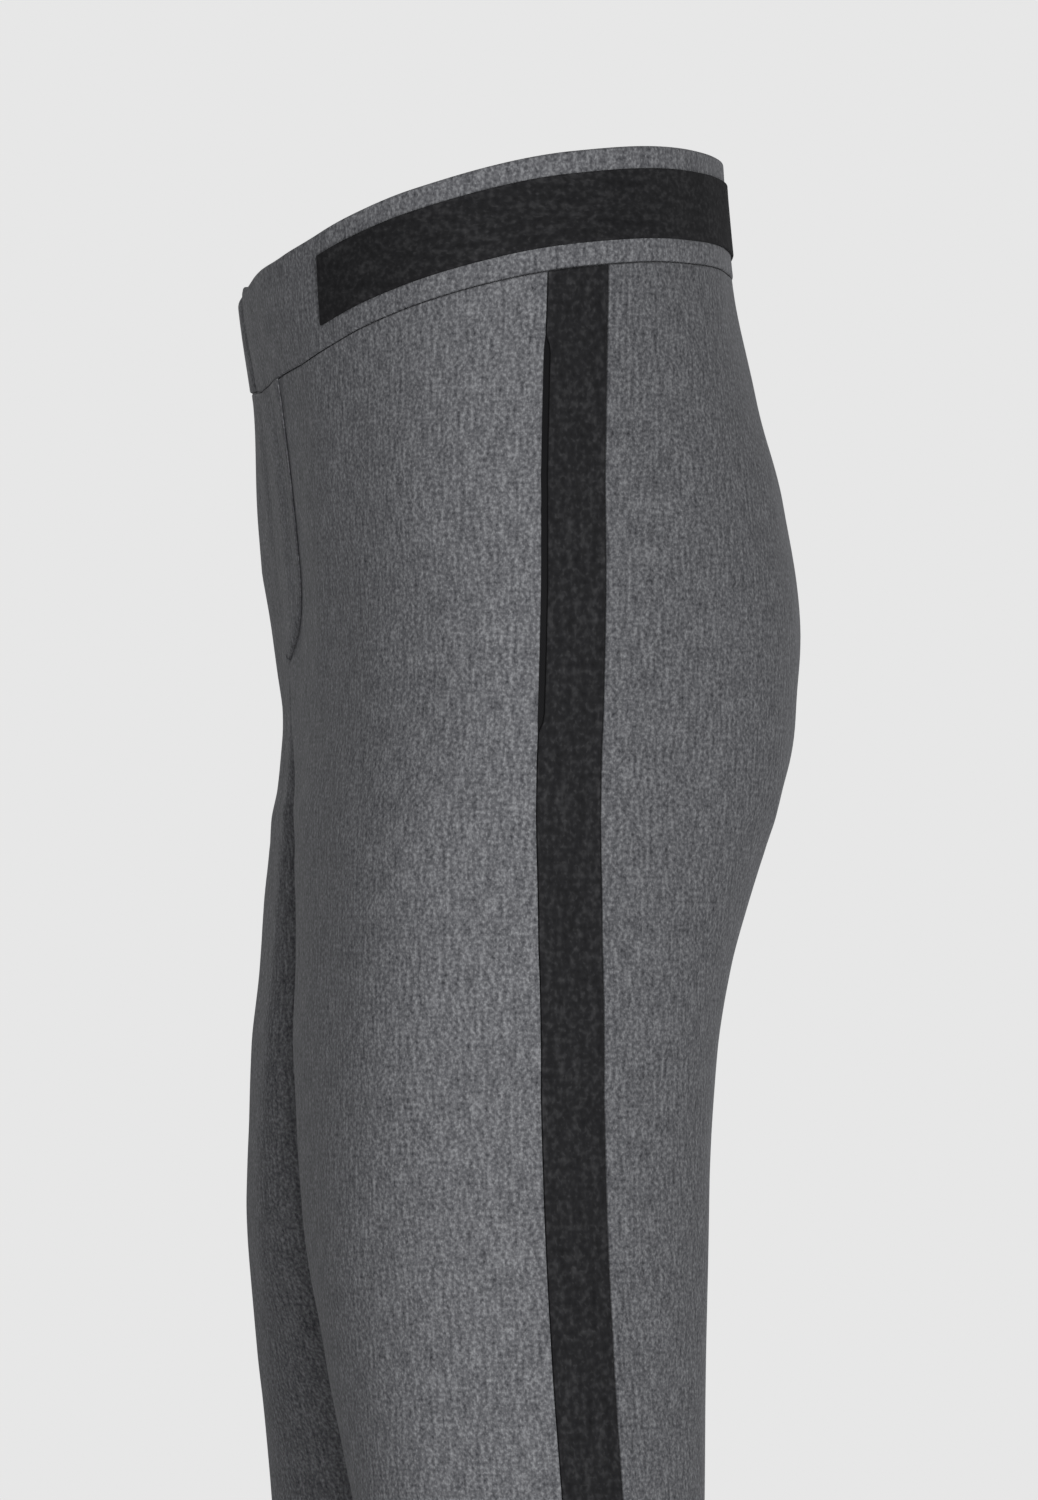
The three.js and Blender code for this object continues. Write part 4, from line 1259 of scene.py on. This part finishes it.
class TrouserFinish(bpy.types.PropertyGroup):
    """Colours and surface of the cloth."""

    grey_ground: colour_setting("Grey ground", "Ground of the grey wool", (0.15, 0.152, 0.163))
    grey_light: colour_setting("Grey light fibre", "Lightest fibres of the grey wool", (0.34, 0.345, 0.36))
    grey_dark: colour_setting("Grey dark fibre", "Darkest fibres of the grey wool", (0.035, 0.036, 0.042))
    charcoal_ground: colour_setting("Charcoal ground", "Ground of the dark wool", (0.0185, 0.0185, 0.0202))
    charcoal_light: colour_setting(
        "Charcoal light fibre", "Lightest fibres of the dark wool", (0.059, 0.059, 0.062)
    )
    charcoal_dark: colour_setting(
        "Charcoal dark fibre", "Darkest fibres of the dark wool", (0.0067, 0.0067, 0.0076)
    )
    # Near black: partly the bags' own colour, partly painted shade in the pocket mouth.
    lining_and_mouth_shade: colour_setting("Lining", "Colour of the pocket bags", (0.006, 0.006, 0.007))
    # Near black: partly the thread's own colour, partly painted shade in the waist seam's ditch.
    thread: colour_setting("Thread", "Colour of the sewing thread", (0.02, 0.02, 0.023))
    zip_tape: colour_setting("Zip tape", "Colour of the zip", (0.012, 0.012, 0.013))
    charcoal_flecks: share_setting("Charcoal flecks", "Strength of the dark wool's flecks", 0.75, 2)
    charcoal_coarse: share_setting("Charcoal coarseness", "Size of the dark wool's flecks", 1.8, 4)
    # Painted shade: dims the backs' colours, because the backs turn away from the light.
    back_painted_shade: share_setting("Back shade", "Painted shade that dims the backs, which turn from the light", 0.85)
    tape_shade: share_setting("Tape shade", "Shade of the waist tape", 0.9)
    fleck_width: size_setting("Fleck width", "Width of a fleck across the grain", 0.0013)
    fleck_length: size_setting("Fleck length", "Length of a fleck along the grain", 0.0015)
    clouds: share_setting("Clouds", "Strength of the soft mottling", 0.16, 2)
    nap_strength: share_setting("Nap", "Strength of the nap's relief", 0.35)
    nap_depth: size_setting("Nap depth", "Depth of the nap's relief", 0.0003)
    sheen: share_setting("Sheen", "Light caught by the nap at its edges", 0.3)


class StudioSettings(bpy.types.PropertyGroup):
    """Light, backdrop and floor."""

    backdrop: colour_setting("Backdrop", "Colour of the backdrop and the floor", (0.799, 0.799, 0.799))
    ambient: share_setting("Ambient", "Strength of the light from all round", 0.02)
    light_power: FloatProperty(
        name="Soft boxes", description="Power of the soft boxes", default=30.0, min=0, unit="POWER"
    )
    floor_drop: size_setting("Floor drop", "Distance from the hems down to the floor", 0.03)


# ---- Operators ----


class TROUSERS_OT_make_legs(bpy.types.Operator):
    """Make the front and back panels of both halves"""

    bl_idname = "trousers.make_legs"
    bl_label = "Fronts and backs"

    def execute(self, context):
        sizes = context.scene.trouser_sizes
        for side in ("left", "right"):
            make_front(side, sizes)
            make_back(side, sizes)
        return {"FINISHED"}


class TROUSERS_OT_make_stripes(bpy.types.Operator):
    """Make the dark stripes down both sides"""

    bl_idname = "trousers.make_stripes"
    bl_label = "Side stripes"

    def execute(self, context):
        for side in ("left", "right"):
            make_stripe(side, context.scene.trouser_sizes)
        return {"FINISHED"}


class TROUSERS_OT_make_waistband(bpy.types.Operator):
    """Make the waistband, its seam's stitches and the dark tape on it"""

    bl_idname = "trousers.make_waistband"
    bl_label = "Waistband and tape"

    def execute(self, context):
        for side in ("left", "right"):
            make_waistband(side, context.scene.trouser_sizes)
            make_tape(side, context.scene.trouser_sizes)
            make_stitches(side)
        return {"FINISHED"}


class TROUSERS_OT_make_fly(bpy.types.Operator):
    """Make the fly lap, the zip and the shield behind it"""

    bl_idname = "trousers.make_fly"
    bl_label = "Fly"

    def execute(self, context):
        sizes = context.scene.trouser_sizes
        grey, tape = finish_named("grey flannel"), finish_named("zip tape")
        make_front_strip(
            "fly_lap",
            lambda height: -front_length(height) - FLY_LAP * fly_round(height),
            lambda height: -front_length(height) + FLY_WIDTH * fly_round(height),
            FLY_LAP + FLY_WIDTH, FLY_FACE, FLY_THICKNESS, grey, sizes,
            pressed=True,
        )
        make_front_strip(
            "zip",
            lambda height: -front_length(height) - ZIP_HALF_WIDTH,
            lambda height: -front_length(height) + ZIP_HALF_WIDTH,
            2 * ZIP_HALF_WIDTH, ZIP_OFFSET, ZIP_THICKNESS, tape, sizes,
        )
        make_front_strip(
            "fly_shield",
            lambda height: -front_length(height) - SHIELD_TO,
            lambda height: -front_length(height) - SHIELD_FROM,
            SHIELD_TO - SHIELD_FROM, SHIELD_OFFSET, SHIELD_THICKNESS, grey, sizes,
        )
        return {"FINISHED"}


class TROUSERS_OT_make_pockets(bpy.types.Operator):
    """Make the pocket bags behind the fronts"""

    bl_idname = "trousers.make_pockets"
    bl_label = "Pockets"

    def execute(self, context):
        for side in ("left", "right"):
            make_pocket_bag(side, context.scene.trouser_sizes)
        return {"FINISHED"}


class TROUSERS_OT_make_hems(bpy.types.Operator):
    """Make the turned-up hems inside the legs"""

    bl_idname = "trousers.make_hems"
    bl_label = "Hems"

    def execute(self, context):
        for side in ("left", "right"):
            make_hem(side, context.scene.trouser_sizes)
        return {"FINISHED"}


class TROUSERS_OT_make_studio(bpy.types.Operator):
    """Make the camera, the soft boxes, the backdrop and the floor"""

    bl_idname = "trousers.make_studio"
    bl_label = "Studio"

    def execute(self, context):
        studio = context.scene.trouser_studio
        make_camera()
        make_lights(studio)
        make_backdrop(studio)
        make_floor(studio)
        context.scene.view_settings.view_transform = "Standard"
        return {"FINISHED"}


class TROUSERS_PT_sidebar(bpy.types.Panel):
    """Lists the steps that make the trousers, and their settings"""

    bl_idname = "TROUSERS_PT_sidebar"
    bl_label = "Trousers"
    bl_space_type = "VIEW_3D"
    bl_region_type = "UI"
    bl_category = "Trousers"

    def draw(self, context):
        steps = self.layout.column(align=True)
        for operator in OPERATORS:
            steps.operator(operator.bl_idname)
        for name in SETTINGS:
            group = getattr(context.scene, name)
            box = self.layout.box()
            for key in group.bl_rna.properties.keys():
                if key not in ("rna_type", "name"):
                    box.prop(group, key)


SETTINGS = {"trouser_sizes": TrouserSizes, "trouser_finish": TrouserFinish, "trouser_studio": StudioSettings}
OPERATORS = (
    TROUSERS_OT_make_studio,
    TROUSERS_OT_make_legs,
    TROUSERS_OT_make_stripes,
    TROUSERS_OT_make_waistband,
    TROUSERS_OT_make_fly,
    TROUSERS_OT_make_pockets,
    TROUSERS_OT_make_hems,
)


def register():
    for cls in (*SETTINGS.values(), *OPERATORS, TROUSERS_PT_sidebar):
        bpy.utils.register_class(cls)
    for name, cls in SETTINGS.items():
        setattr(bpy.types.Scene, name, PointerProperty(type=cls))


def unregister():
    for name in SETTINGS:
        delattr(bpy.types.Scene, name)
    for cls in (TROUSERS_PT_sidebar, *reversed(OPERATORS), *SETTINGS.values()):
        bpy.utils.unregister_class(cls)


def main():
    """Makes everything in order."""
    register()
    bpy.ops.trousers.make_studio()
    bpy.ops.trousers.make_legs()
    bpy.ops.trousers.make_stripes()
    bpy.ops.trousers.make_waistband()
    bpy.ops.trousers.make_fly()
    bpy.ops.trousers.make_pockets()
    bpy.ops.trousers.make_hems()


if __name__ == "__main__":
    main()
